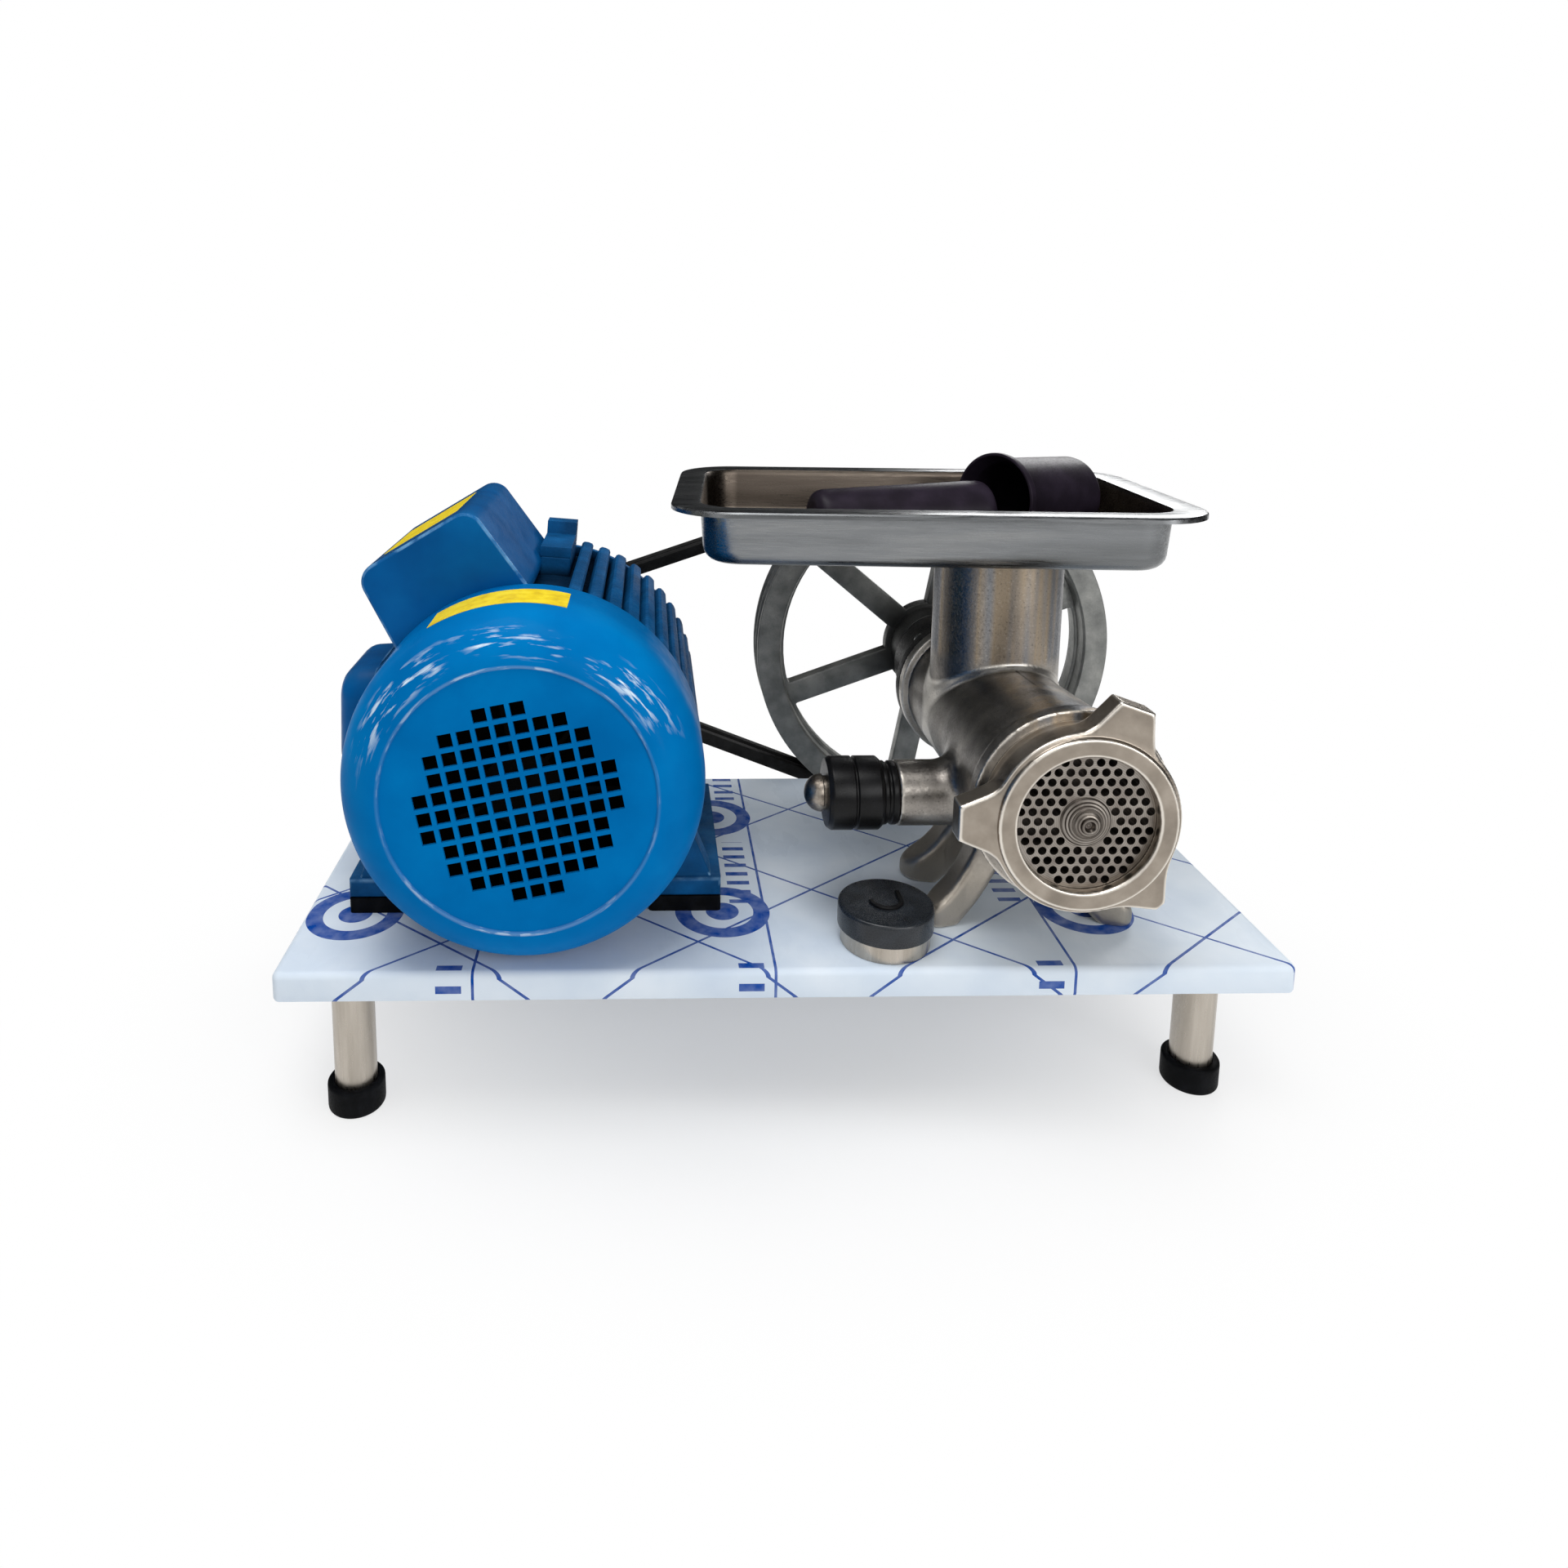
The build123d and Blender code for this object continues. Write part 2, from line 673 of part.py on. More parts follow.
def pressed_cover(width, length, height, corner, crown):
    # Deep-drawn lid with drafted sides and a rounded crown, open below.
    skin = extrude(RectangleRounded(width, length, corner), height, taper=box_draft)
    skin = fillet(skin.faces().sort_by(Axis.Z)[-1].edges(), crown)
    hollow = extrude(RectangleRounded(width - 2 * box_wall, length - 2 * box_wall, corner - box_wall),
                     height - box_wall, taper=box_draft)
    hollow = fillet(hollow.faces().sort_by(Axis.Z)[-1].edges(), crown - box_wall)
    return skin - hollow


def box_middle():
    return frame_front + box_setback + box_length / 2


def side_middle():
    return frame_front + side_setback + side_length / 2


def terminal_box():
    lid = pressed_cover(box_width, box_length, box_height, box_corner, box_crown)
    lid = Pos(0, box_middle(), box_bottom) * lid
    outlet = Pos(box_width / 4, box_middle() + box_length / 2, box_bottom + box_height / 2)
    lid -= outlet * Rot(90, 0, 0) * Cylinder(gland_radius / 2 + fit, box_length / 2)
    return on_motor(lid, box_angle)


def terminal_board():
    # Insulating floor of the box with its row of brass studs left to the inside.
    rim = 2 * (box_wall + gap + box_wall * math.tan(math.radians(box_draft)))
    board = extrude(RectangleRounded(box_width - rim, box_length - rim, box_corner - box_wall), box_wall)
    return on_motor(Pos(0, box_middle(), box_bottom) * board, box_angle)


def run_capacitor():
    can = Cylinder(capacitor_radius, capacitor_length)
    can = fillet(can.edges(), box_wall)
    place = Pos(-box_width / 8, box_middle(), box_bottom + box_wall + capacitor_radius) * Rot(90, 0, 0)
    return on_motor(place * can, box_angle)


def cable_gland():
    # Screwed gland in the box's rear wall, with a hexagon and a domed cap.
    wall_y = box_middle() + box_length / 2
    lean = math.tan(math.radians(box_draft)) * box_height
    plug = Pos(0, 0, -lean) * extrude(Circle(gland_radius / 2), lean + gap)
    plug += extrude(RegularPolygon(gland_radius, 6), gland_length / 3)
    dome = Pos(0, 0, gland_length / 3) * extrude(Circle(gland_radius * 0.8), gland_length * 2 / 3)
    plug += fillet(dome.faces().sort_by(Axis.Z)[-1].edges(), gland_radius / 4)
    place = Pos(box_width / 4, wall_y, box_bottom + box_height / 2) * Rot(-90, 0, 0)
    return on_motor(place * plug, box_angle)


def side_box():
    lid = pressed_cover(side_width, side_length, side_height, side_corner, side_crown)
    return on_motor(Pos(0, side_middle(), side_bottom) * lid, side_angle)


def start_capacitor():
    can = Cylinder(side_capacitor_radius, side_capacitor_length)
    place = Pos(0, side_middle(), side_bottom + side_capacitor_radius) * Rot(90, 0, 0)
    return on_motor(place * can, side_angle)


# Belt drive

def groove_centres():
    return (belt_y - groove_pitch / 2, belt_y + groove_pitch / 2)


def groove_profile(radius):
    # Outer edge of a two-groove rim as (radius, y) corners, front to back.
    slope = math.tan(math.radians(belt_flank))
    clear = gap / math.cos(math.radians(belt_flank))
    top = belt_width / 2 - belt_proud * slope + clear
    floor = radius + belt_proud - belt_height - groove_floor
    bottom = top - (radius - floor) * slope
    corners = [(radius, pulley_front)]
    for middle in groove_centres():
        corners += [(radius, middle - top), (floor, middle - bottom),
                    (floor, middle + bottom), (radius, middle + top)]
    return corners + [(radius, pulley_back)]


def motor_pulley():
    bore = shaft_end_radius + fit
    rim = motor_pulley_radius - 2 * belt_height
    corners = [(bore, pulley_front)] + groove_profile(motor_pulley_radius)
    corners += [(rim, pulley_back), (rim, belt_y), (motor_hub_radius - belt_height, belt_y),
                (motor_hub_radius - belt_height, pulley_back), (bore, pulley_back)]
    return turned(corners, motor_x, motor_z) - key_space(motor_x, motor_z, shaft_end_radius, fit)


def drive_pulley():
    rim_inner = drive_pulley_radius - drive_rim
    bore = auger_shaft_radius + fit
    corners = [(rim_inner, pulley_front)] + groove_profile(drive_pulley_radius) + [(rim_inner, pulley_back)]
    pulley = turned(corners, grinder_x, grinder_z)
    windows = Circle(rim_inner) - Circle(drive_hub_radius)
    for index in range(spoke_count):
        turn = spoke_phase + 360.0 * index / spoke_count
        windows -= Rot(0, 0, turn) * Pos(rim_inner / 2, 0) * Rectangle(rim_inner * 1.1, spoke_width)
    windows = fillet(windows.vertices(), spoke_fillet)
    web = Circle(rim_inner + fit) - windows
    pulley += front_view(web, grinder_x, grinder_z, belt_y - drive_web / 2, belt_y + drive_web / 2)
    pulley += ring_y(drive_hub_radius, 0, drive_hub_y, pulley_back, grinder_x, grinder_z)
    pulley -= ring_y(bore, 0, drive_hub_y, pulley_back, grinder_x, grinder_z)
    return pulley - key_space(grinder_x, grinder_z, auger_shaft_radius, fit)


def drive_belt(middle):
    # Wedge belt round both pulleys: two bends joined by two straight strands.
    slope = math.tan(math.radians(belt_flank))
    narrow = belt_width / 2 - belt_height * slope
    across = grinder_x - motor_x
    rise = grinder_z - motor_z
    span = math.hypot(across, rise)
    lean = math.degrees(math.atan2(rise, across))
    spread = math.degrees(math.asin((drive_pulley_radius - motor_pulley_radius) / span))
    strand = math.sqrt(span ** 2 - (drive_pulley_radius - motor_pulley_radius) ** 2)

    def section(radius):
        outer = radius + belt_proud
        inner = outer - belt_height
        return make_face(Polyline((outer, middle - belt_width / 2), (outer, middle + belt_width / 2),
                                  (inner, middle + narrow), (inner, middle - narrow), close=True))

    def bend(radius, x, z, start, arc):
        # Turns the section counter-clockwise as seen from the front.
        turn = revolve(section(radius), Axis.Y, -arc)
        return Pos(x, 0, z) * Rot(0, -start, 0) * turn

    small = bend(motor_pulley_radius, motor_x, motor_z, lean + 90 + spread, 180 - 2 * spread)
    large = bend(drive_pulley_radius, grinder_x, grinder_z, lean - 90 - spread, 180 + 2 * spread)
    belt = small + large
    for start, way in ((lean + 90 + spread, 1), (lean - 90 - spread, -1)):
        run_face = Pos(motor_x, 0, motor_z) * Rot(0, -start, 0) * section(motor_pulley_radius)
        heading = math.radians(start - 90 * way)
        belt += extrude(run_face, strand, dir=(math.cos(heading), 0, math.sin(heading)))
    return belt


def shaft_key(x, z, radius):
    return key_space(x, z, radius, 0)


# Grinder

def grinder_body():
    seat = die_radius + gap / 2
    shell = turned([(barrel_bore, body_front + die_recess), (seat, body_front + die_recess),
                    (seat, body_front), (thread_radius, body_front), (thread_radius, shoulder_front),
                    (shoulder_radius, shoulder_front), (shoulder_radius, shoulder_front + shoulder_length),
                    (barrel_radius, shoulder_front + 2 * shoulder_length),
                    (barrel_end_radius, neck_y - neck_radius),
                    (barrel_end_radius, body_back - rear_flange_thick),
                    (rear_flange_radius, body_back - rear_flange_thick), (rear_flange_radius, body_back),
                    (auger_shaft_radius + gap, body_back), (auger_shaft_radius + gap, bore_back),
                    (barrel_bore, bore_back)], grinder_x, grinder_z)
    bore = ring_y(barrel_bore, 0, body_front + die_recess, bore_back, grinder_x, grinder_z)
    neck = pin_z(neck_radius, grinder_x, neck_y, grinder_z, tray_z)
    throat = pin_z(neck_bore, grinder_x, neck_y, grinder_z, tray_z)
    boss = pin_x(boss_radius, boss_x, grinder_x, boss_y, boss_z)
    body = shell + (neck + boss - bore)
    for side, hip, toe in toe_places():
        body += leg_casting(side, hip, toe) - bore
    body -= throat
    body -= pin_x(clamp_screw_radius + run, boss_x, boss_x + clamp_screw_depth + gap, boss_y, boss_z)
    for side, hip, toe in toe_places():
        body -= pin_z(toe_bolt_radius + fit, grinder_x + side * toe_reach, toe, plate_height,
                      plate_height + toe_bolt_depth)
    for x, z in housing_bolt_places():
        body -= ring_y(housing_bolt_radius + fit, 0, body_back - rear_flange_thick, body_back, x, z)
    return body


def leg_casting(side, hip, toe):
    # Splayed leg from the barrel's underside out and down to a round toe.
    top = (grinder_x + side * hip_reach, hip, grinder_z - hip_drop)
    knee = (grinder_x + side * knee_reach, (hip + toe) / 2, grinder_z - knee_drop)
    foot = (grinder_x + side * toe_reach, toe, plate_height + toe_radius - toe_sink)
    path = ThreePointArc(top, knee, foot)
    sections = [Plane(path @ place, z_dir=path % place) * Circle(radius)
                for place, radius in ((0, hip_radius), (0.5, knee_radius), (1, toe_radius))]
    limb = loft(sections) + Pos(*foot) * Sphere(toe_radius)
    under = Pos(foot[0], foot[1], plate_height - toe_radius) * Box(8 * toe_radius, 8 * toe_radius,
                                                                   2 * toe_radius)
    return limb - under


def housing_bolt_places():
    return [(grinder_x + housing_bolt_circle * math.cos(math.radians(45 + 360.0 * index / housing_bolts)),
             grinder_z + housing_bolt_circle * math.sin(math.radians(45 + 360.0 * index / housing_bolts)))
            for index in range(housing_bolts)]


def bearing_housing():
    seat = bearing_outer_radius + fit
    hole = auger_shaft_radius + gap
    flange = body_back + housing_flange
    housing = turned([(hole, body_back), (rear_flange_radius, body_back), (rear_flange_radius, flange),
                      (housing_radius, flange), (housing_radius, housing_back), (seat, housing_back),
                      (seat, flange), (hole, flange)], grinder_x, grinder_z)
    for x, z in housing_bolt_places():
        housing -= ring_y(housing_bolt_radius + fit, 0, body_back, flange, x, z)
    return housing


def housing_bolt_set():
    flange = body_back + housing_flange
    bolts = []
    for x, z in housing_bolt_places():
        head = ring_y(2 * housing_bolt_radius, 0, flange, flange + 2 * housing_bolt_radius, x, z)
        bolts.append(head + ring_y(housing_bolt_radius, 0, body_back - rear_flange_thick, flange, x, z))
    return Compound(bolts)


def drive_bearings():
    return Compound([bearing(y, grinder_x, grinder_z)
                     for y in (body_back + housing_flange, housing_back - bearing_width)])


def bearing_spacer():
    front = body_back + housing_flange + bearing_width
    return ring_y(bearing_outer_radius - fit, bearing_outer_radius - bearing_race, front,
                  housing_back - bearing_width, grinder_x, grinder_z)


def thrust_washer():
    return ring_y(thrust_radius, auger_shaft_radius + run, bore_back - thrust_thick, bore_back,
                  grinder_x, grinder_z)


def auger():
    # One screw flight round a solid core, with the drive shaft behind it.
    length = auger_back - auger_front
    flight_radius = barrel_bore - auger_clear
    half = math.radians(flight_sector / 2)
    wedge_x = 2 * flight_radius * math.cos(half)
    wedge_y = 2 * flight_radius * math.sin(half)
    wedge = make_face(Polyline((0, 0), (wedge_x, -wedge_y), (wedge_x, wedge_y), close=True))
    section = Circle(auger_core) + (Circle(flight_radius) & wedge)
    screw = Solid.extrude_linear_with_rotation(section.face(), (0, 0, 0), (0, 0, length),
                                               360.0 * auger_turns)
    screw = Pos(grinder_x, auger_back, grinder_z) * Rot(90, 0, 0) * screw
    shaft = ring_y(auger_shaft_radius, 0, auger_back, pulley_back, grinder_x, grinder_z)
    shaft -= key_space(grinder_x, grinder_z, auger_shaft_radius, fit)
    return Part() + [screw, shaft]


def auger_stud():
    # Stud at the auger's front: a square for the knife, then a round end in the die.
    square = front_view(Rectangle(knife_square - 2 * fit, knife_square - 2 * fit), grinder_x, grinder_z,
                        knife_front, auger_front)
    stud_end = ring_front - auger_stud_proud
    stud = ring_y(auger_stud_radius, 0, stud_end, knife_front, grinder_x, grinder_z)
    dimple = ring_y(auger_stud_radius / 3, 0, stud_end, stud_end + auger_stud_radius / 2,
                    grinder_x, grinder_z)
    return square + stud - dimple


def knife():
    blades = Circle(knife_hub)
    for index in range(4):
        sweep_back = Pos(knife_reach / 2, knife_arm / 4) * Rectangle(knife_reach, knife_arm)
        blades += Rot(0, 0, 90.0 * index) * sweep_back
    blades &= Circle(knife_reach)
    blades -= Rectangle(knife_square, knife_square)
    return front_view(blades, grinder_x, grinder_z, knife_front, auger_front)


def die_plate():
    face = Circle(die_radius)
    row_step = die_hole_pitch * math.sqrt(3) / 2
    outer = ring_opening - die_rim / 2 - die_hole_radius
    inner = die_hub_radius + die_hole_radius
    rows = int(die_radius / row_step)
    hole = Circle(die_hole_radius)
    holes = []
    for row in range(-rows, rows + 1):
        shift = (row % 2) * die_hole_pitch / 2
        for column in range(-rows, rows + 1):
            x = column * die_hole_pitch + shift
            y = row * row_step
            if inner <= math.hypot(x, y) <= outer:
                holes.append(Pos(x, y) * hole)
    face -= holes
    face -= Pos(0, die_radius) * Circle(die_notch + fit)
    plate = front_view(face, grinder_x, grinder_z, die_front, die_back)
    hub_front = die_front - die_hub_rise
    plate += ring_y(die_hub_radius, 0, hub_front, die_front, grinder_x, grinder_z)
    return plate - ring_y(auger_stud_radius + run, 0, hub_front, die_back, grinder_x, grinder_z)


def die_pin():
    # Pin in the body's rim that keeps the die from turning.
    pin = ring_y(die_notch, 0, body_front, die_back, grinder_x, grinder_z + die_radius)
    return pin & ring_y(die_radius + gap / 2, 0, body_front, die_back, grinder_x, grinder_z)


def ring_nut():
    outline = Circle(ring_radius)
    root = ring_radius * 0.9
    end = ring_radius + ring_lug_reach
    lug = make_face(Polyline((root, -ring_lug_root / 2), (end, -ring_lug_tip / 2),
                             (end, ring_lug_tip / 2), (root, ring_lug_root / 2), close=True))
    for angle in lug_angles:
        outline += Rot(0, 0, angle) * lug
    outline = fillet(outline.vertices(), ring_lug_round)
    nut = front_view(outline, grinder_x, grinder_z, ring_front, ring_front + ring_lug_thick)
    nut += ring_y(ring_radius, 0, ring_front, ring_back, grinder_x, grinder_z)
    nut = chamfer(nut.faces().sort_by(Axis.Y)[0].edges(), ring_bevel)
    nut -= ring_y(ring_opening, 0, ring_front, ring_back, grinder_x, grinder_z)
    return nut - ring_y(thread_radius + gap, 0, ring_front + ring_lip, ring_back, grinder_x, grinder_z)


def pulley_bolt():
    # Bolt with a wide flange that holds the pulley on the shaft.
    back = pulley_back + thrust_thick
    head = front_view(RegularPolygon(2 * clamp_screw_radius, 6), grinder_x, grinder_z, back,
                      back + bolt_head_height)
    return head + ring_y(drive_hub_radius * 0.8, 0, pulley_back, back, grinder_x, grinder_z)


# Side clamp

def clamp_collar():
    ring = pin_x(collar_radius, boss_x - gap - collar_length, boss_x - gap, boss_y, boss_z)
    return ring - pin_x(clamp_screw_radius + fit, boss_x - gap - collar_length, boss_x - gap, boss_y, boss_z)


def clamp_knob():
    end = boss_x - gap - collar_length
    knob = pin_x(knob_radius, end - knob_length, end, boss_y, boss_z)
    knob = chamfer(knob.edges(), knob_bevel)
    middle = end - knob_length / 2
    knob -= (pin_x(knob_radius, middle - knob_groove, middle + knob_groove, boss_y, boss_z)
             - pin_x(knob_radius - knob_groove, middle - knob_groove, middle + knob_groove, boss_y, boss_z))
    return knob - pin_x(clamp_screw_radius + fit, end - knob_length, end, boss_y, boss_z)


def clamp_screw():
    end = boss_x - gap - collar_length - knob_length
    return pin_x(clamp_screw_radius, end, boss_x + clamp_screw_depth, boss_y, boss_z)


def clamp_cap():
    start = boss_x - gap - collar_length - knob_length
    cap = pin_x(dome_radius, start - dome_length, start, boss_y, boss_z)
    return fillet(cap.faces().sort_by(Axis.X)[0].edges(), dome_radius * 0.7)


# Feed tray and pusher

def feed_tray():
    body_length = tray_length - 2 * tray_rim
    body_width = tray_width - 2 * tray_rim

    def pan(wall, depth):
        outline = RectangleRounded(body_length - 2 * wall, body_width - 2 * wall, tray_corner - wall)
        form = extrude(outline, -depth, taper=tray_draft)
        return fillet(form.faces().sort_by(Axis.Z)[0].edges(), tray_bottom_round - wall)

    rim = RectangleRounded(tray_length, tray_width, tray_rim_corner)
    flange = Pos(0, 0, -tray_edge_drop) * extrude(rim, tray_edge_drop)
    hem = RectangleRounded(tray_length - 2 * tray_sheet, tray_width - 2 * tray_sheet,
                           tray_rim_corner - tray_sheet)
    flange -= Pos(0, 0, -tray_edge_drop) * extrude(hem, tray_edge_drop - tray_sheet)
    tray = flange + pan(0, tray_depth) - pan(tray_sheet, tray_depth - tray_sheet)
    tray = Pos(tray_x, tray_y, tray_z + tray_depth) * Rot(0, 0, tray_turn) * tray
    return tray - pin_z(neck_bore - gap - tray_sheet, grinder_x, neck_y, tray_z, tray_floor)


def tray_collar():
    # Short tube under the hole in the tray's floor, standing in the neck.
    tube = pin_z(neck_bore - gap, grinder_x, neck_y, tray_z - collar_depth, tray_z)
    return tube - pin_z(neck_bore - gap - tray_sheet, grinder_x, neck_y, tray_z - collar_depth, tray_z)


def pusher():
    # Tapered rod with rounded ends, lying on the tray's floor.
    side = make_face(Polyline((0, -pusher_length), (pusher_end_radius, -pusher_length), (pusher_radius, 0),
                              (0, 0), close=True))
    rod = revolve(side, Axis.Y)
    rod = fillet(rod.edges().filter_by(GeomType.CIRCLE), pusher_round)
    tilt = math.atan((pusher_radius - pusher_end_radius) / pusher_length)
    lean = Rot(0, 0, pusher_turn - 90) * Rot(math.degrees(tilt), 0, 0)
    rise = tray_floor + gap + pusher_radius * math.cos(tilt)
    return Pos(tray_x + pusher_right, tray_y - pusher_front, rise) * lean * rod


def stuffing_sleeve():
    # Hollow sleeve with a flange round its open mouth, lying behind the pusher.
    bore = sleeve_radius - sleeve_wall
    side = make_face(Polyline((bore, 0), (sleeve_flange_radius, 0),
                              (sleeve_flange_radius, sleeve_flange_thick),
                              (sleeve_radius, sleeve_flange_thick), (sleeve_radius, sleeve_length),
                              (0, sleeve_length), (0, sleeve_length - sleeve_floor),
                              (bore, sleeve_length - sleeve_floor), close=True))
    sleeve = revolve(side, Axis.Y)
    sleeve = fillet(sleeve.edges().sort_by(Axis.Y)[-1], sleeve_floor / 2)
    tilt = math.atan((sleeve_flange_radius - sleeve_radius) / (sleeve_length - sleeve_flange_thick))
    lean = Rot(0, 0, sleeve_turn - 90) * Rot(-math.degrees(tilt), 0, 0)
    rise = tray_floor + gap + sleeve_flange_radius * math.cos(tilt) + sleeve_flange_thick * math.sin(tilt)
    return Pos(tray_x + sleeve_right, tray_y - sleeve_front, rise) * lean * sleeve


# Switch

def switch_base():
    base = pin_z(switch_base_radius, switch_x, switch_y, plate_height, plate_height + switch_base_height)
    return base - pin_z(switch_spindle_radius + run, switch_x, switch_y, plate_height,
                        plate_height + switch_base_height)


def switch_knob():
    low = plate_height + switch_base_height + gap
    top = low + switch_cap_height
    knob = pin_z(switch_cap_radius, switch_x, switch_y, low, top)
    knob = fillet(knob.faces().sort_by(Axis.Z)[-1].edges(), switch_cap_round)
    hook = SlotArc(CenterArc((0, 0), switch_mark_radius, 180, 180), switch_mark_width)
    stem = Pos(switch_mark_radius, switch_mark_radius / 2) * SlotOverall(
        switch_mark_radius + switch_mark_width, switch_mark_width, rotation=90)
    mark = Pos(switch_x, switch_y, top) * extrude(hook + stem, switch_mark_rise)
    return knob + mark - pin_z(switch_spindle_radius + fit, switch_x, switch_y, low,
                               low + switch_cap_height / 2)


def switch_spindle():
    return pin_z(switch_spindle_radius, switch_x, switch_y, plate_under + gap,
                 plate_height + switch_base_height + gap + switch_cap_height / 2)


def switch_block_under():
    block = Pos(switch_x, switch_y, plate_under - switch_block_height / 2) * Box(
        switch_block, switch_block, switch_block_height)
    return fillet(block.edges().filter_by(Axis.Z), cap_bevel)


nodes = {
    "base_plate": base_plate(),
    "motor_pads": motor_pads(),
    "motor_fasteners": motor_fasteners(),
    "grinder_bolts": grinder_bolts(),
    "motor_frame": motor_frame(),
    "lifting_lug": lifting_lug(),
    "front_end_shield": front_end_shield(),
    "rear_end_shield": rear_end_shield(),
    "fan_cover": fan_cover(),
    "cooling_fan": cooling_fan(),
    "motor_shaft": motor_shaft(),
    "rotor_core": rotor_core(),
    "stator_core": stator_core(),
    "stator_windings": stator_windings(),
    "motor_bearings": Compound([bearing(y, motor_x, motor_z) for y in (front_bearing_y, rear_bearing_y)]),
    "terminal_box": terminal_box(),
    "terminal_board": terminal_board(),
    "run_capacitor": run_capacitor(),
    "cable_gland": cable_gland(),
    "side_box": side_box(),
    "start_capacitor": start_capacitor(),
    "motor_pulley": motor_pulley(),
    "motor_key": shaft_key(motor_x, motor_z, shaft_end_radius),
    "drive_pulley": drive_pulley(),
    "drive_key": shaft_key(grinder_x, grinder_z, auger_shaft_radius),
    "pulley_bolt": pulley_bolt(),
    "grinder_body": grinder_body(),
    "bearing_housing": bearing_housing(),
    "housing_bolts": housing_bolt_set(),
    "drive_bearings": drive_bearings(),
    "bearing_spacer": bearing_spacer(),
    "thrust_washer": thrust_washer(),
    "auger": auger(),
    "auger_stud": auger_stud(),
    "knife": knife(),
    "die_plate": die_plate(),
    "die_pin": die_pin(),
    "ring_nut": ring_nut(),
    "clamp_collar": clamp_collar(),
    "clamp_knob": clamp_knob(),
    "clamp_screw": clamp_screw(),
    "clamp_cap": clamp_cap(),
    "feed_tray": feed_tray(),
    "tray_collar": tray_collar(),
    "pusher": pusher(),
    "stuffing_sleeve": stuffing_sleeve(),
    "switch_base": switch_base(),
    "switch_knob": switch_knob(),
    "switch_spindle": switch_spindle(),
    "switch_block": switch_block_under(),
}
for hand, x, y in (("left", -leg_x, left_leg_y), ("right", leg_x, right_leg_y)):
    for end, way in (("front", -1), ("rear", 1)):
        nodes[f"leg_{end}_{hand}"] = leg(x, way * y)
        nodes[f"foot_cap_{end}_{hand}"] = foot_cap(x, way * y)
for end, middle in zip(("front", "rear"), groove_centres()):
    nodes[f"belt_{end}"] = drive_belt(middle)

whole = Compound(list(nodes.values())).bounding_box()
home = Pos(-whole.center().X, -whole.center().Y, -whole.min.Z)
os.makedirs("parts", exist_ok=True)
for name, shape in nodes.items():
    export_step(home * shape, f"parts/{name}.step")
print(len(nodes), "pieces")
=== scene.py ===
import bmesh
import bpy
import math
import numpy as np
import openvdb
from functools import partial
from mathutils import Matrix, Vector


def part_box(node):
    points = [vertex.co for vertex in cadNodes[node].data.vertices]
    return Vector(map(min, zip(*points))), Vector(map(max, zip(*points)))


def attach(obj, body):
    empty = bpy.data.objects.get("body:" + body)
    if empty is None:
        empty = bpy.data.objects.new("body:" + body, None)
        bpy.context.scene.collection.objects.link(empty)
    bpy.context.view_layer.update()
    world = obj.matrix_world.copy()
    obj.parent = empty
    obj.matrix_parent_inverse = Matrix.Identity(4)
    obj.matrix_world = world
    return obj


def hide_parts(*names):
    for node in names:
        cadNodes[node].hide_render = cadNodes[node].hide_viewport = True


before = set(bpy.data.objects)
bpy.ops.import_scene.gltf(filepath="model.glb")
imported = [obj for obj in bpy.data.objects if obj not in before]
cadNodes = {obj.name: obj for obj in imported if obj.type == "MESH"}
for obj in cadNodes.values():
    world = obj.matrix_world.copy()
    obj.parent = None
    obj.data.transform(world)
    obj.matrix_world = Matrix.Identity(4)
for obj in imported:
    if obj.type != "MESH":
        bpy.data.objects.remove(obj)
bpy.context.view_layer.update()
scene = bpy.context.scene

# Pieces are drawn in millimetres from home, the middle of the plate's top.
plateLow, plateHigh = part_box("base_plate")
home = ((plateLow.x + plateHigh.x) / 2, (plateLow.y + plateHigh.y) / 2, plateHigh.z)


def middleOf(node):
    low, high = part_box(node)
    return [round(1000 * ((low[i] + high[i]) / 2 - home[i]), 2) for i in range(3)]


motorX, _, motorZ = middleOf("motor_pulley")
grinderX, _, grinderZ = middleOf("drive_pulley")
motorAxis, grinderAxis = (motorX, 0, motorZ), (grinderX, 0, grinderZ)
neckY, neckTop = 2.5, 224.0
print("frame loaded")


# Nodes

def hexColor(text):
    channels = [int(text[i:i + 2], 16) / 255 for i in (1, 3, 5)]
    return [c / 12.92 if c <= 0.04045 else ((c + 0.055) / 1.055) ** 2.4 for c in channels] + [1.0]


def addNode(tree, kind, *values, **settings):
    # Values fill the inputs in order, or by name from a dictionary, and a node among them gives its
    # first output. The name of an operation stands for a maths node.
    if kind.isupper():
        kind, settings["operation"] = "Math", kind
    item = tree.nodes.new(kind if "Node" in kind else "ShaderNode" + kind)
    for key, value in settings.items():
        setattr(item, key, value)
    if values and isinstance(values[0], dict):
        pairs = [(item.inputs[key], value) for key, value in values[0].items()]
    else:
        pairs = list(zip((socket for socket in item.inputs if socket.enabled), values))
    for socket, value in pairs:
        if isinstance(value, bpy.types.Node):
            value = next(output for output in value.outputs if output.enabled)
        if isinstance(value, bpy.types.NodeSocket):
            tree.links.new(value, socket)
        else:
            socket.default_value = value
    return item


def times(add, *values):
    product = values[0]
    for value in values[1:]:
        product = add("MULTIPLY", product, value)
    return product


def span(add, across, up):
    # Length of a line that goes so far across and so far up.
    return add("SQRT", add("ADD", add("POWER", across, 2.0), add("POWER", up, 2.0)))


noiseEnds = (0.3, 0.7)  # noise seldom leaves this range


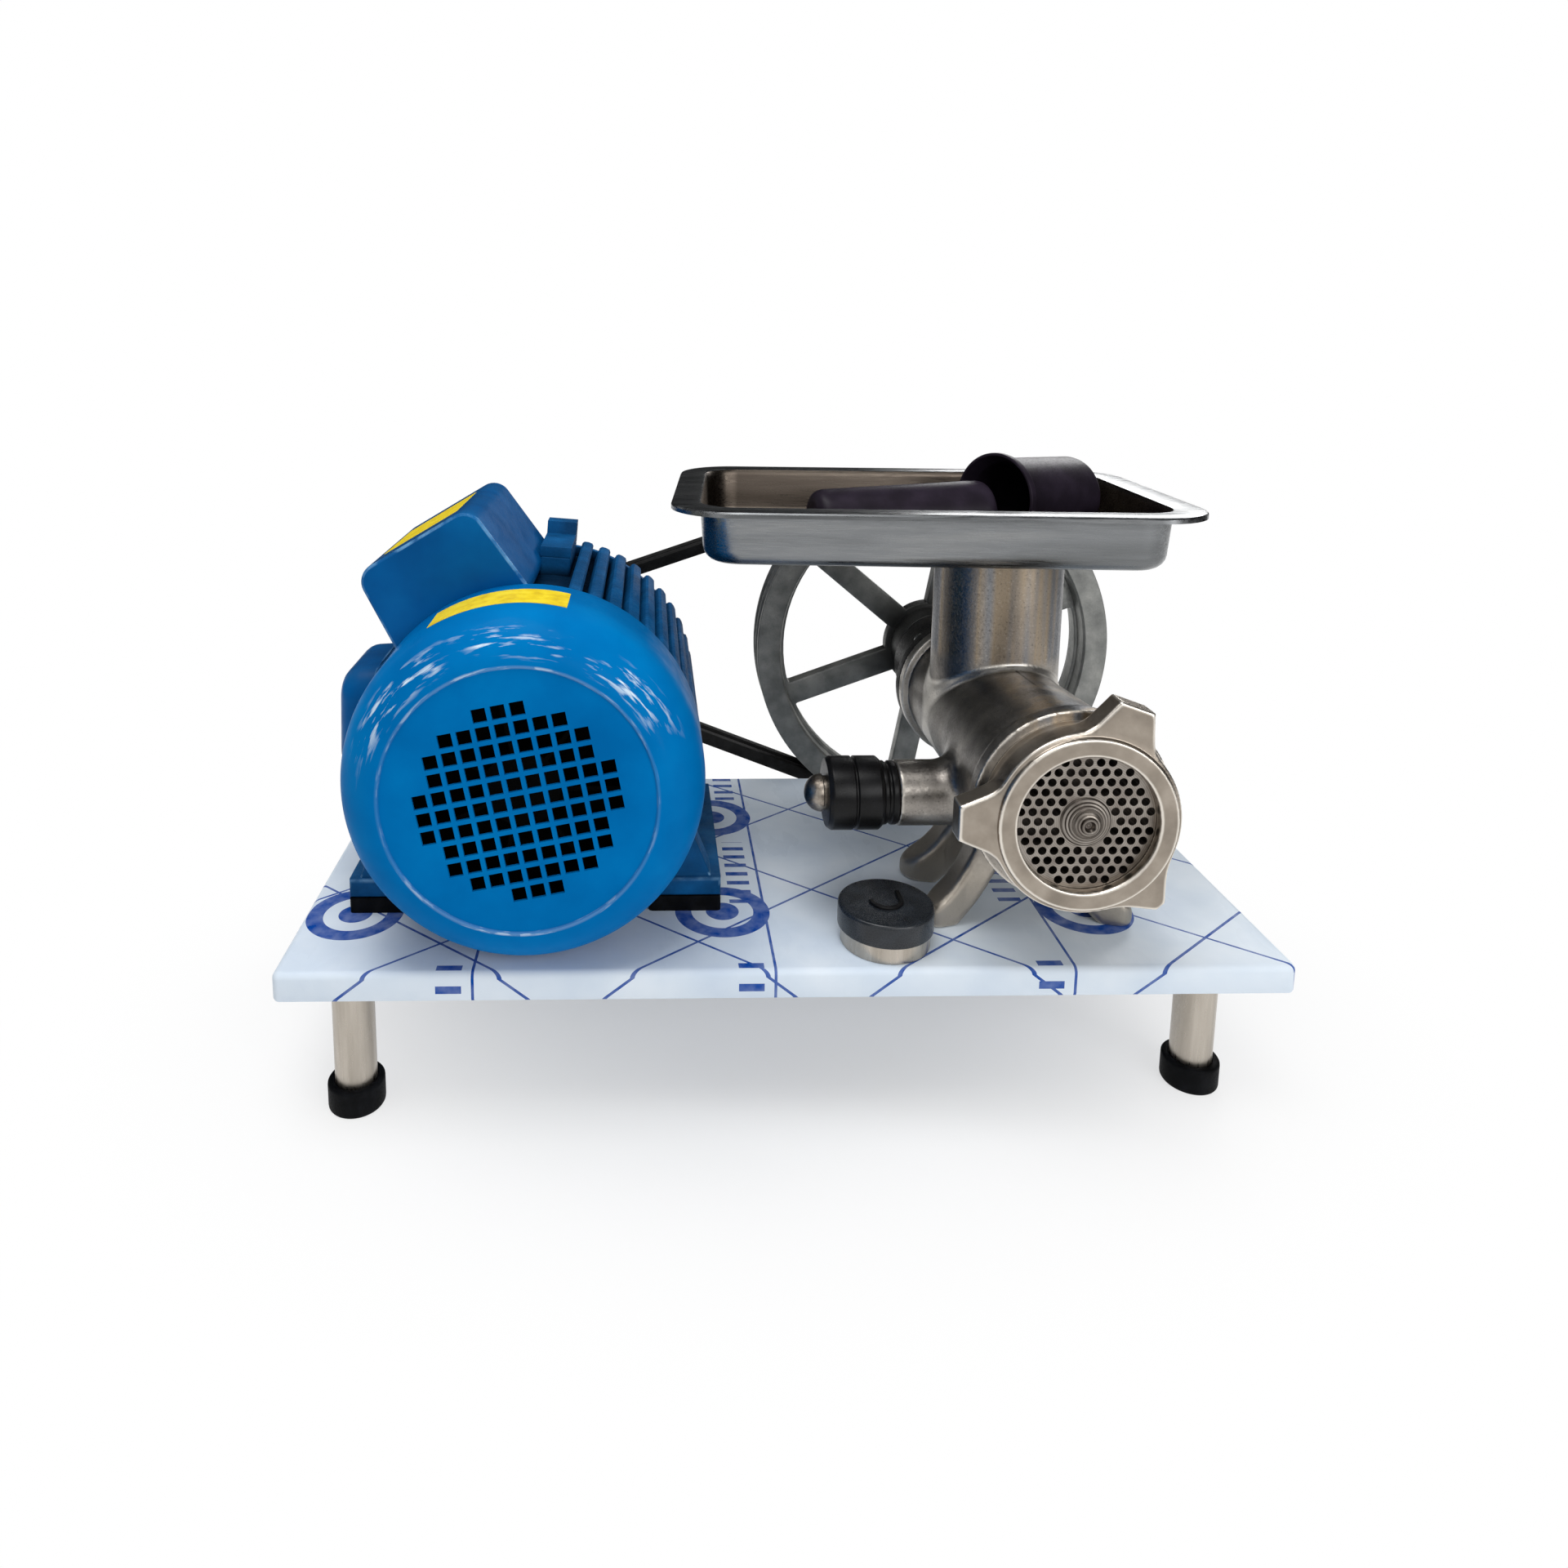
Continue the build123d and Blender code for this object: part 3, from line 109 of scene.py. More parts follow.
def noise(add, coords, size, detail=3.0, streak=(1, 1, 1)):
    # Grains about size mm across, drawn out along an axis by streak.
    vector = add("Mapping", {"Vector": coords, "Scale": [1000 / size / s for s in streak]})
    return add("TexNoise", {"Vector": vector, "Scale": 1.0, "Detail": detail})


def drift(add, value, tones):
    # Blends evenly through a row of hex colours.
    item = add("ValToRGB", value)
    tones = tones.split()
    stops = item.color_ramp.elements
    while len(stops) < len(tones):
        stops.new(0.5)
    for stop, place, tone in zip(stops, np.linspace(*noiseEnds, len(tones)), tones):
        stop.position = place
        stop.color = hexColor(tone)
    return item


def tint(add, inputs, share, tone):
    # Lays a colour over the material's own.
    inputs["Base Color"] = add("Mix", share, inputs["Base Color"], hexColor(tone), data_type="RGBA")


def startMaterial(name):
    material = bpy.data.materials.new(name)
    material.use_nodes = True
    material.node_tree.nodes.clear()
    add = partial(addNode, material.node_tree)
    coords = add("VectorMath", add("TexCoord").outputs["Object"], home, operation="SUBTRACT")
    return material, add, coords


def surfaceMaterial(name, tones, grain, rough, relief, metal=0.0, gloss=0.5, streak=(1, 1, 1), finish=None):
    # Tones drift over the grain. A finer relief, given as size and depth in mm, makes roughness and bump.
    material, add, coords = startMaterial(name)
    fine = noise(add, coords, relief[0], 3.0, streak)
    inputs = {"Base Color": drift(add, noise(add, coords, grain, 4.0, streak), tones), "Metallic": metal,
              "Roughness": add("MapRange", fine, *noiseEnds, *rough), "Specular IOR Level": gloss,
              "Coat Roughness": 0.1, "Normal": add("Bump", {"Height": fine, "Distance": relief[1] / 1000})}
    if finish:
        finish(add, coords, inputs)
    add("OutputMaterial", add("BsdfPrincipled", inputs))
    return material


# Finishes that follow a piece's form

def axisRadius(add, coords, axis):
    # Distance from an axis along Y, and how far across and up from it, in mm.
    part = add("SeparateXYZ", coords).outputs
    across, up = [add("SUBTRACT", add("MULTIPLY", part[i], 1000.0), axis[i]) for i in (0, 2)]
    return span(add, across, up), across, up


def edgeBend(add):
    return add("Attribute", attribute_name="bend").outputs["Fac"]


def enamelScuffsAndHighlights(add, coords, inputs):
    # Rub marks and painted highlights run round the cover's upper shoulder, and a painted highlight follows
    # the crease round the face, strongest at top and bottom; the shoulder stays glossy while the face is
    # dull.
    radius, across, up = axisRadius(add, coords, motorAxis)
    around = add("MULTIPLY", add("ARCTAN2", across, up), 0.09)
    wrapped = add("CombineXYZ", around, add("DIVIDE", radius, 1000.0))
    streaks = add("MapRange", noise(add, wrapped, 2.4, 6.0, (8, 1, 1)), 0.53, 0.63)
    patches = add("MapRange", noise(add, wrapped, 26.0, 3.0, (2, 1, 1)), 0.43, 0.56)
    band = times(add, add("MapRange", radius, 81.0, 88.0), add("MapRange", radius, 93.0, 99.0, 1.0, 0.0))
    # Rub streaks on the upper shoulder, also painted as highlights.
    rubbedHighlight = times(add, streaks, patches, band, add("MapRange", up, 5.0, 55.0))
    crease = add("MapRange", add("ABSOLUTE", add("SUBTRACT", radius, 77.6)), 0.3, 1.4, 0.55, 0.0)
    lit = add("MapRange", add("ABSOLUTE", up), 25.0, 72.0, 0.3, 1.0)
    # Painted highlight along the crease, brighter at top and bottom where the light falls.
    creaseHighlight = times(add, crease, lit, add("MapRange", streaks, 0.0, 0.6, 0.25, 1.0))
    tint(add, inputs, add("MAXIMUM", rubbedHighlight, creaseHighlight), "#d5e6f3")
    inputs["Coat Weight"] = add("MapRange", radius, 78.0, 86.0, 0.0, 0.015)


def finShadeAndFootHighlights(add, coords, inputs):
    # Painted shade darkens the paint down between the fins, and painted highlights lie along the feet's upper
    # edges, broken in patches.
    radius, _, up = axisRadius(add, coords, motorAxis)
    # Painted shade between the fins.
    tint(add, inputs, add("MapRange", radius, 92.5, 99.0, 0.85, 0.0), "#020c16")
    # Painted highlight on the feet's upper edges, broken up by noise.
    footTop = add("MapRange", add("ABSOLUTE", add("ADD", up, 89.5)), 2.5, 4.0, 1.0, 0.0)
    rubbedHighlight = times(add, add("MapRange", edgeBend(add), 0.1, 0.3, 0.0, 0.8), footTop,
                   add("MapRange", noise(add, coords, 9.0, 4.0), 0.38, 0.56, 0.3, 1.0))
    tint(add, inputs, rubbedHighlight, "#8fc0e4")


def turnedRings(add, coords, inputs):
    # Fine lathe marks round the auger's axis, coarse and dark on the boss.
    radius = axisRadius(add, coords, grinderAxis)[0]
    tint(add, inputs, add("MapRange", add("PINGPONG", radius, 0.55), 0.1, 0.5, 0.0, 0.45), "#57504a")
    boss = times(add, add("MapRange", add("PINGPONG", radius, 0.9), 0.2, 0.7, 0.0, 0.75),
                 add("MapRange", radius, 14.4, 15.4, 1.0, 0.0))
    tint(add, inputs, boss, "#38312c")


def hubOil(add, coords, inputs):
    # Oil thrown from the bearing blackens the hub and the spokes' roots.
    radius = axisRadius(add, coords, grinderAxis)[0]
    tint(add, inputs, add("MapRange", radius, 36.0, 66.0, 0.85, 0.0), "#1c1c1b")


def rubbedRimsAndHighlights(add, coords, inputs, start=0.09, end=0.24):
    # Raised edges are rubbed bright, and the pale rims also stand in for edge highlights: painted highlight.
    tint(add, inputs, add("MapRange", edgeBend(add), start, end, 0.0, 0.85), "#efe8dd")


def boxDustAndEdgeHighlights(add, coords, inputs):
    # Dust lies on top of the boxes, and their edges carry pale painted highlights, broken in places.
    facing = add("SeparateXYZ", add("NewGeometry").outputs["Normal"]).outputs
    dust = times(add, add("MapRange", facing[2], 0.35, 0.8, 0.0, 0.5),
                 add("MapRange", noise(add, coords, 30.0, 5.0), *noiseEnds, 0.3, 1.0))
    tint(add, inputs, dust, "#25405a")
    # Painted highlight along the tight edges.
    rubbedHighlight = times(add, add("MapRange", edgeBend(add), 0.12, 0.2, 0.0, 0.6),
                   add("MapRange", noise(add, coords, 14.0, 4.0), 0.42, 0.6, 0.05, 1.0))
    tint(add, inputs, rubbedHighlight, "#7db4de")


def castSpeckle(add, coords, inputs):
    # Heat tints band the neck; its weld, the rear flange and the legs are bright, the parting line
    # and sand pits dark.
    radius, across, up = axisRadius(add, coords, grinderAxis)
    along = add("MULTIPLY", add("SeparateXYZ", coords).outputs[1], 1000.0)
    aside = span(add, across, add("SUBTRACT", along, neckY))
    bands = drift(add, noise(add, coords, 17.0, 2.0, (1, 1, 30)), "#29303b #6f737a #a2917a #868a90")
    inputs["Base Color"] = add("Mix", add("MapRange", up, 44.0, 52.0, 0.0, 0.8), inputs["Base Color"], bands,
                               data_type="RGBA")
    tint(add, inputs, add("MapRange", up, -72.0, -48.0, 0.8, 0.0), "#b3aa9d")
    seam = add("MAXIMUM", add("ABSOLUTE", add("SUBTRACT", aside, 43.5)),
               add("ABSOLUTE", add("SUBTRACT", radius, 47.0)))
    flange = add("MapRange", along, 50.5, 52.0, 0.0, 0.6)
    tint(add, inputs, add("MAXIMUM", add("MapRange", seam, 2.2, 3.6, 0.9, 0.0), flange), "#e3ded5")
    parting = times(add, add("MapRange", add("ABSOLUTE", across), 0.4, 1.2, 0.8, 0.0),
                    add("MapRange", up, 38.0, 42.0), add("MapRange", along, -82.0, -76.0),
                    add("MapRange", aside, 45.0, 47.0))
    tint(add, inputs, parting, "#26221f")
    grains = noise(add, coords, 1.3, 2.0)
    rough = add("MapRange", up, -62.0, -45.0, 0.15, 1.0)
    tint(add, inputs, times(add, add("MapRange", grains, 0.6, 0.72, 0.0, 0.4), rough), "#383532")
    tint(add, inputs, times(add, add("MapRange", grains, 0.28, 0.38, 0.25, 0.0), rough), "#c9c4bc")
    inputs["Metallic"] = add("MapRange", up, -72.0, -45.0, 0.8, 1.0)
    # Pale raised edges: rubbed wear and painted edge highlights.
    rubbedRimsAndHighlights(add, coords, inputs, 0.12, 0.3)


# Materials

looks = {
    # Blue enamel of the pressed fan cover, with rub marks and painted highlights on its shoulder.
    "coverEnamel": dict(tones="#0061a2 #006bae #0075b8", grain=60.0, rough=(0.3, 0.44), relief=(9.0, 0.05),
                        gloss=0.008, finish=enamelScuffsAndHighlights),
    # The same enamel, a little darker, on the boxes, with painted highlights along their edges.
    "boxEnamel": dict(tones="#004b86 #005593 #02609f", grain=45.0, rough=(0.28, 0.4), relief=(9.0, 0.04),
                      gloss=0.06, finish=boxDustAndEdgeHighlights),
    # Thick dull paint over the sand-cast motor frame, with painted shade between the fins and painted
    # highlights on the feet's upper edges.
    "castingPaint": dict(tones="#083f69 #0b4c7d #105b92", grain=25.0, rough=(0.4, 0.62), relief=(2.2, 0.25),
                         gloss=0.08, finish=finShadeAndFootHighlights),
    # Brushed stainless sheet, the scratches running along X.
    "brushedSheet": dict(tones="#6f7172 #848688 #979898", grain=14.0, rough=(0.2, 0.4), relief=(1.2, 0.012),
                         streak=(40, 1, 1), metal=1.0),
    # Inside of the tray: the same brushed sheet, darker and browner than the outside.
    "usedSheet": dict(tones="#453e37 #554d46 #675f56", grain=18.0, rough=(0.22, 0.4), relief=(1.2, 0.012),
                      streak=(40, 1, 1), metal=1.0),
    # Drawn stainless tube, the scratches running along it.
    "drawnTube": dict(tones="#a59d92 #b8b0a5 #c8c0b5", grain=8.0, rough=(0.24, 0.4), relief=(0.8, 0.012),
                      streak=(1, 1, 14), metal=1.0),
    # Warm nickel plate over a sand-cast grinder body.
    "platedCasting": dict(tones="#76716c #908b85 #a8a29a", grain=22.0, rough=(0.28, 0.48), relief=(1.6, 0.07),
                          metal=1.0, finish=castSpeckle),
    # The locking ring's plate, rubbed smoother by handling, its raised rims pale with wear and painted
    # highlights.
    "rubbedCasting": dict(tones="#8b8277 #9d9387 #ada397", grain=18.0, rough=(0.28, 0.42), relief=(1.8, 0.05),
                          metal=1.0, finish=rubbedRimsAndHighlights),
    # Ground tool steel of the die, with turning marks about its axis.
    "groundSteel": dict(tones="#867e77 #99928a #aaa39b", grain=9.0, rough=(0.28, 0.45), relief=(0.9, 0.02),
                        metal=1.0, finish=turnedRings),
    # Bare grey cast pulley with dust in the pores.
    "castPulley": dict(tones="#717270 #868784 #989894", grain=16.0, rough=(0.38, 0.6), relief=(1.5, 0.12),
                       metal=0.7, finish=hubOil),
    # Oily dark iron of the bearing housing.
    "darkCasting": dict(tones="#2b2a29 #3a3937 #4b4946", grain=14.0, rough=(0.35, 0.6), relief=(1.6, 0.15),
                        metal=0.6),
    # Wrapped belt rubber with a faint cloth grain.
    "beltRubber": dict(tones="#101010 #171717 #202020", grain=10.0, rough=(0.55, 0.8), relief=(0.8, 0.06),
                       gloss=0.2),
    # Moulded rubber of the foot caps and pads.
    "footRubber": dict(tones="#08090a #0d0e10 #141518", grain=8.0, rough=(0.45, 0.7), relief=(1.0, 0.06),
                       gloss=0.06),
    # Black moulded plastic of the clamp's knob and the electrical fittings.
    "mouldedBlack": dict(tones="#09090a #0f0f10 #161618", grain=12.0, rough=(0.26, 0.42), relief=(0.7, 0.02),
                         gloss=0.2),
    # Slate-black plastic of the switch's cap, polished by fingers.
    "switchPlastic": dict(tones="#191c20 #21252a #2b3036", grain=12.0, rough=(0.2, 0.36), relief=(0.7, 0.02),
                          gloss=0.4),
    # Dusty black plastic of the fan inside the cover, made near-black as painted shade so the vents look
    # dark.
    "fanPlastic": dict(tones="#040404 #070707 #0a0a0a", grain=15.0, rough=(0.6, 0.8), relief=(1.0, 0.03),
                       gloss=0.05),
    # Dark purple-black plastic of the pusher and sleeve, satin from washing.
    "pusherPlastic": dict(tones="#1a151d #211b25 #2b2430", grain=20.0, rough=(0.34, 0.5), relief=(1.2, 0.03),
                          gloss=0.12),
    # Worn bright end of the clamp.
    "wornSteel": dict(tones="#5f574f #867d73 #a79e93", grain=6.0, rough=(0.25, 0.5), relief=(1.4, 0.08),
                      metal=1.0),
    # Blank yellow paper label, a little rubbed.
    "labelPaper": dict(tones="#d9b90f #ecd016 #f3dc2c", grain=7.0, rough=(0.4, 0.6), relief=(1.5, 0.03),
                       gloss=0.3),
    # Zinc-plated fasteners.
    "zincPlate": dict(tones="#8b8d8c #a2a4a2 #b5b6b1", grain=5.0, rough=(0.3, 0.48), relief=(0.8, 0.02),
                      metal=1.0),
    # Turned shaft and bearing steel.
    "shaftSteel": dict(tones="#77777a #8e8e91 #a3a3a5", grain=7.0, rough=(0.25, 0.42), relief=(0.6, 0.015),
                       metal=1.0),
    # Stacked iron sheets of the motor's cores.
    "coreIron": dict(tones="#3f3f41 #525254 #666668", grain=3.0, rough=(0.45, 0.65), relief=(0.7, 0.05),
                     streak=(6, 1, 6), metal=0.8),
    # Varnished copper winding heads.
    "copperWinding": dict(tones="#6d3416 #8c4a22 #a8602f", grain=4.0, rough=(0.3, 0.5), relief=(1.2, 0.2),
                          streak=(5, 1, 5), metal=0.7),
    # Bronze bearing face of the auger's washer.
    "bronzeFace": dict(tones="#7a5a2c #94703a #ab8850", grain=6.0, rough=(0.3, 0.45), relief=(0.8, 0.02),
                       metal=1.0),
    # Drawn aluminium capacitor cans.
    "canAluminium": dict(tones="#a6a8aa #b8babb #c8c9ca", grain=8.0, rough=(0.3, 0.42), relief=(0.8, 0.01),
                         metal=1.0),
}


def filmedSheetMaterial():
    # Printed white protective film on the plate: fine blue lattice, rings and bars.
    material, add, coords = startMaterial("filmedSheet")
    part = add("SeparateXYZ", add("Attribute", attribute_name="sheet").outputs["Vector"]).outputs
    x, y = [add("MULTIPLY", part[i], 1000.0) for i in (0, 1)]
    halfLine, lattice, columns, column = 0.85, 96.0, 176.0, add("ADD", x, 1064.0)

    def near(value, period, half):
        # True within half mm of each multiple of a period.
        return add("LESS_THAN", add("PINGPONG", value, period / 2), half)

    def slanted(angle, offset):
        lean = math.radians(angle)
        sides = add("MULTIPLY", x, math.cos(lean)), add("MULTIPLY", y, math.sin(lean))
        return near(add("ADD", add("ADD", *sides), offset), lattice, halfLine)

    ringX = add("PINGPONG", add("ADD", x, 734.0), 116.5)
    ringY = add("PINGPONG", add("ADD", y, 72.0), 67.5)
    ring = span(add, ringX, ringY)
    shapes = [slanted(-52, 44), near(column, columns, halfLine),
              times(add, near(add("ADD", column, 14.0), columns, 7.5), near(y, 12.0, 2.4),
                    near(add("ADD", y, 20.0), 150.0, 42.0)),
              add("LESS_THAN", add("ABSOLUTE", add("SUBTRACT", ring, 25.0)), 5.2),
              add("LESS_THAN", ring, 10.5)]
    ink = slanted(52, 20)
    for shape in shapes:
        ink = add("MAXIMUM", ink, shape)
    ink = times(add, ink, add("MapRange", noise(add, coords, 9.0, 4.0), *noiseEnds, 0.78, 1.0))
    wrinkle = noise(add, coords, 26.0, 5.0, (1.0, 3.0, 1.0))
    inputs = {"Base Color": drift(add, noise(add, coords, 70.0, 4.0), "#cbd8e7 #d8e3ee #e4ecf4"),
              "Specular IOR Level": 0.04, "Roughness": add("MapRange", wrinkle, *noiseEnds, 0.2, 0.42),
              "Normal": add("Bump", {"Height": wrinkle, "Distance": 0.0005})}
    tint(add, inputs, ink, "#05449c")
    add("OutputMaterial", add("BsdfPrincipled", inputs))
    return material


materials = {name: surfaceMaterial(name, **look) for name, look in looks.items()}
materials["filmedSheet"] = filmedSheetMaterial()
print("materials ready")


# Mesh helpers, all in millimetres from home

upright = Matrix.Rotation(math.pi / 2, 4, "X")  # stands a flat drawing up, facing the front


def buildMesh(points, faces):
    mesh = bpy.data.meshes.new("raw")
    mesh.from_pydata((np.asarray(points, float) / 1000).tolist(), [], faces)
    return mesh


def moved(x, y, z):
    return Matrix.Translation((x / 1000, y / 1000, z / 1000))


def addItem(name, data):
    item = bpy.data.objects.new(name, data)
    scene.collection.objects.link(item)
    return item


def takeMesh(holder):
    # The plain mesh that a helper object makes; the object goes.
    bpy.context.view_layer.update()
    mesh = bpy.data.meshes.new_from_object(holder.evaluated_get(bpy.context.evaluated_depsgraph_get()))
    bpy.data.objects.remove(holder)
    return mesh


def soften(points, radius, steps=4, closed=False):
    # Rounds the corners of a flat line; a third value is a corner's own radius.
    rounded = []
    count = len(points)
    for index, point in enumerate(points):
        corner = np.array(point[:2], float)
        size = point[2] if len(point) > 2 else radius
        if size <= 0 or (not closed and index in (0, count - 1)):
            rounded.append(tuple(corner))
            continue
        back = np.array(points[index - 1][:2], float) - corner
        ahead = np.array(points[(index + 1) % count][:2], float) - corner
        lengths = np.linalg.norm(back), np.linalg.norm(ahead)
        bend = math.acos(np.clip(back @ ahead / (lengths[0] * lengths[1]), -1, 1))
        reach = min(size / max(math.tan(bend / 2), 1e-6), 0.45 * lengths[0], 0.45 * lengths[1])
        start = corner + back / lengths[0] * reach
        end = corner + ahead / lengths[1] * reach
        for t in np.linspace(0, 1, steps + 1):
            rounded.append(tuple((1 - t) ** 2 * start + 2 * t * (1 - t) * corner + t * t * end))
    return rounded


def loft(loops, capped=False, closed=False):
    # Skins a row of loops that have the same number of points.
    count = len(loops[0])
    points = np.concatenate(loops)
    faces = []
    for ring in range(len(loops) if closed else len(loops) - 1):
        low, high = ring * count, (ring + 1) % len(loops) * count
        for i in range(count):
            j = (i + 1) % count
            faces.append((low + i, low + j, high + j, high + i))
    if capped:
        faces.append(tuple(range(count))[::-1])
        faces.append(tuple(range(len(points) - count, len(points))))
    return buildMesh(points, faces)


def lathe(profile, axis, origin, segments=96, closed=False):
    # Turns (radius, along) points about an axis through origin.
    along = "xyz".index(axis)
    angles = np.linspace(0, 2 * math.pi, segments, endpoint=False)
    loops = []
    for radius, height in profile:
        loop = np.zeros((segments, 3))
        loop[:, along] = height
        loop[:, (along + 1) % 3] = max(radius, 1e-5) * np.cos(angles)
        loop[:, (along + 2) % 3] = max(radius, 1e-5) * np.sin(angles)
        loops.append(loop + np.array(origin))
    return loft(loops, closed=closed)


def turnedRing(corners, edge, axis, origin, segments=96):
    # Ring whose section is a closed row of corners with broken edges.
    return lathe(soften(corners, edge, closed=True), axis, origin, segments, closed=True)


def rectLoop(length, width, corner, height, steps=8):
    points = []
    for turn, (sx, sy) in enumerate(((1, 1), (-1, 1), (-1, -1), (1, -1))):
        for t in np.linspace(0, math.pi / 2, steps + 1):
            angle = turn * math.pi / 2 + t
            points.append((sx * (length / 2 - corner) + corner * math.cos(angle),
                           sy * (width / 2 - corner) + corner * math.sin(angle), height))
    return np.array(points)


def frontPlate(outlines, y0, y1, bevel):
    # Fills outlines drawn as seen from the front, with holes, between y0 and y1.
    curve = bpy.data.curves.new("plate", "CURVE")
    curve.dimensions = "2D"
    curve.fill_mode = "BOTH"
    curve.extrude = ((y1 - y0) / 2 - bevel) / 1000
    curve.bevel_depth = bevel / 1000
    curve.bevel_resolution = 2
    for outline in outlines:
        spline = curve.splines.new("POLY")
        spline.points.add(len(outline) - 1)
        spline.use_cyclic_u = True
        for point, (x, z) in zip(spline.points, outline):
            point.co = (x / 1000, z / 1000, 0, 1)
    mesh = takeMesh(addItem("plate", curve))
    mesh.transform(moved(0, (y0 + y1) / 2, 0) @ upright)
    return mesh


def onMotor(mesh, angle, settle=Matrix()):
    # Turns a mesh built above the origin to the left about the motor's axis.
    mesh.transform(moved(*motorAxis) @ Matrix.Rotation(-math.radians(angle), 4, "Y") @ settle)
    return mesh


def softBox(length, width, low, high, corner, edge, middle=0.0, draft=0.0):
    # Upright box with rounded corners and crown, centred at (0, middle).
    steps = [(0.0, low), (0.0, low + edge / 9), (0.0, low + edge / 5), (0.0, high - edge - edge / 9)]
    steps += [(edge * (1 - math.cos(t)), high - edge + edge * math.sin(t))
              for t in np.linspace(0, math.pi / 2, 7)]
    loops = []
    for inset, height in steps + [(edge * 10 / 9, high)]:
        inset += math.tan(math.radians(draft)) * (height - low)
        loops.append(rectLoop(length - 2 * inset, width - 2 * inset, max(corner - inset, 0.4), height))
    for loop in loops:
        loop[:, 1] += middle
    return loft(loops, capped=True)


def hoodBox(size, low, high, corner, rim, middle, draft):
    # Box whose top corners are rounded as seen from the front, with soft front and back rims.
    half = size[1] / 2
    steps = [(rim * (1 - math.cos(t)), half - rim + rim * math.sin(t))
             for t in np.linspace(0, math.pi / 2, 6)]
    steps = [(0.0, half - 1.4 * rim)] + steps + [(1.3 * rim, half)]
    loops = []
    for inset, y in steps[::-1] + [(inset, -y) for inset, y in steps]:
        loop = rectLoop(size[0] - 2 * inset, high - low - 2 * inset, corner - inset, y)[:, (0, 2, 1)]
        loop[:, 2] += (low + high) / 2
        loop[:, 0] *= 1 + math.tan(math.radians(draft)) * (high - loop[:, 2]) / (size[0] / 2)
        loops.append(loop + (0, middle, 0))
    return loft(loops, capped=True)


def softCopy(node, width):
    # The CAD piece with its sharp edges broken.
    mesh = bpy.data.meshes.new(node)
    work = bmesh.new()
    work.from_mesh(cadNodes[node].data)
    bmesh.ops.remove_doubles(work, verts=work.verts, dist=1e-6)
    bmesh.ops.dissolve_limit(work, angle_limit=0.02, verts=work.verts, edges=work.edges)
    sharp = [e for e in work.edges if len(e.link_faces) == 2 and e.calc_face_angle() > 0.7]
    bmesh.ops.bevel(work, geom=sharp, offset=width / 1000, segments=2, profile=0.6, affect="EDGES",
                    clamp_overlap=True)
    work.to_mesh(mesh)
    work.free()
    return mesh


def markBends(mesh, rounds):
    # Stores how sharply the surface turns outward at each point, in 1/mm, for worn edges.
    count = len(mesh.vertices)
    points, normals = np.empty(3 * count), np.empty(3 * count)
    ends = np.empty(2 * len(mesh.edges), int)
    mesh.vertices.foreach_get("co", points)
    mesh.vertex_normals.foreach_get("vector", normals)
    mesh.edges.foreach_get("vertices", ends)
    points, normals, (first, last) = points.reshape(-1, 3), normals.reshape(-1, 3), ends.reshape(-1, 2).T
    step = points[first] - points[last]
    bend = np.sum((normals[first] - normals[last]) * step, axis=1)
    bend /= 1000 * np.maximum(np.sum(step ** 2, axis=1), 1e-12)
    share = np.maximum(np.bincount(ends, minlength=count), 1)
    value = (np.bincount(first, bend, count) + np.bincount(last, bend, count)) / share
    for _ in range(rounds):
        near = np.bincount(first, value[last], count) + np.bincount(last, value[first], count)
        value = 0.5 * value + 0.5 * near / share
    mesh.attributes.new("bend", "FLOAT", "POINT").data.foreach_set("value", value)


def pick(info, *keys):
    return [info[key] for key in keys]


def addPiece(name, meshes, info):
    # Joins meshes to one object, set at home, that rides on its body and stands for CAD nodes.
    work = bmesh.new()
    for mesh in meshes:
        work.from_mesh(mesh)
    bmesh.ops.remove_doubles(work, verts=work.verts, dist=2e-7)
    bmesh.ops.recalc_face_normals(work, faces=work.faces)
    if not info.get("inFrame"):
        bmesh.ops.translate(work, verts=work.verts, vec=home)
    mesh = bpy.data.meshes.new(name)
    work.to_mesh(mesh)
    work.free()
    mesh.materials.clear()
    mesh.materials.append(materials[info["material"]])
    mesh.shade_smooth()
    mesh.set_sharp_from_angle(angle=math.radians(info.get("sharp", 32)))
    markBends(mesh, 2 if "voxel" in info else 0)
    item = addItem(name, mesh)
    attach(item, info["body"])
    if info.get("nodes"):
        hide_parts(*info["nodes"])
    return item


# Geometry Nodes trees

def startTree(name, sockets):
    tree = bpy.data.node_groups.new(name, "GeometryNodeTree")
    for way in ("INPUT", "OUTPUT"):
        tree.interface.new_socket("Geometry", in_out=way, socket_type="NodeSocketGeometry")
    for label, kind in sockets.items():
        tree.interface.new_socket(label, in_out="INPUT", socket_type="NodeSocket" + kind)
    add = partial(addNode, tree)
    return tree, add, add("NodeGroupInput").outputs


def copiesTree():
    # Sets a copy of an object on each point, turned by the point's own angles.
    tree, add, given = startTree("copies", {"Pattern": "Object"})
    pattern = add("GeometryNodeObjectInfo", given["Pattern"]).outputs["Geometry"]
    turn = add("GeometryNodeInputNamedAttribute", {"Name": "turn"}, data_type="FLOAT_VECTOR")
    placed = add("GeometryNodeInstanceOnPoints", {"Points": given[0], "Instance": pattern, "Rotation": turn})
    add("NodeGroupOutput", add("GeometryNodeRealizeInstances", placed))
    return tree


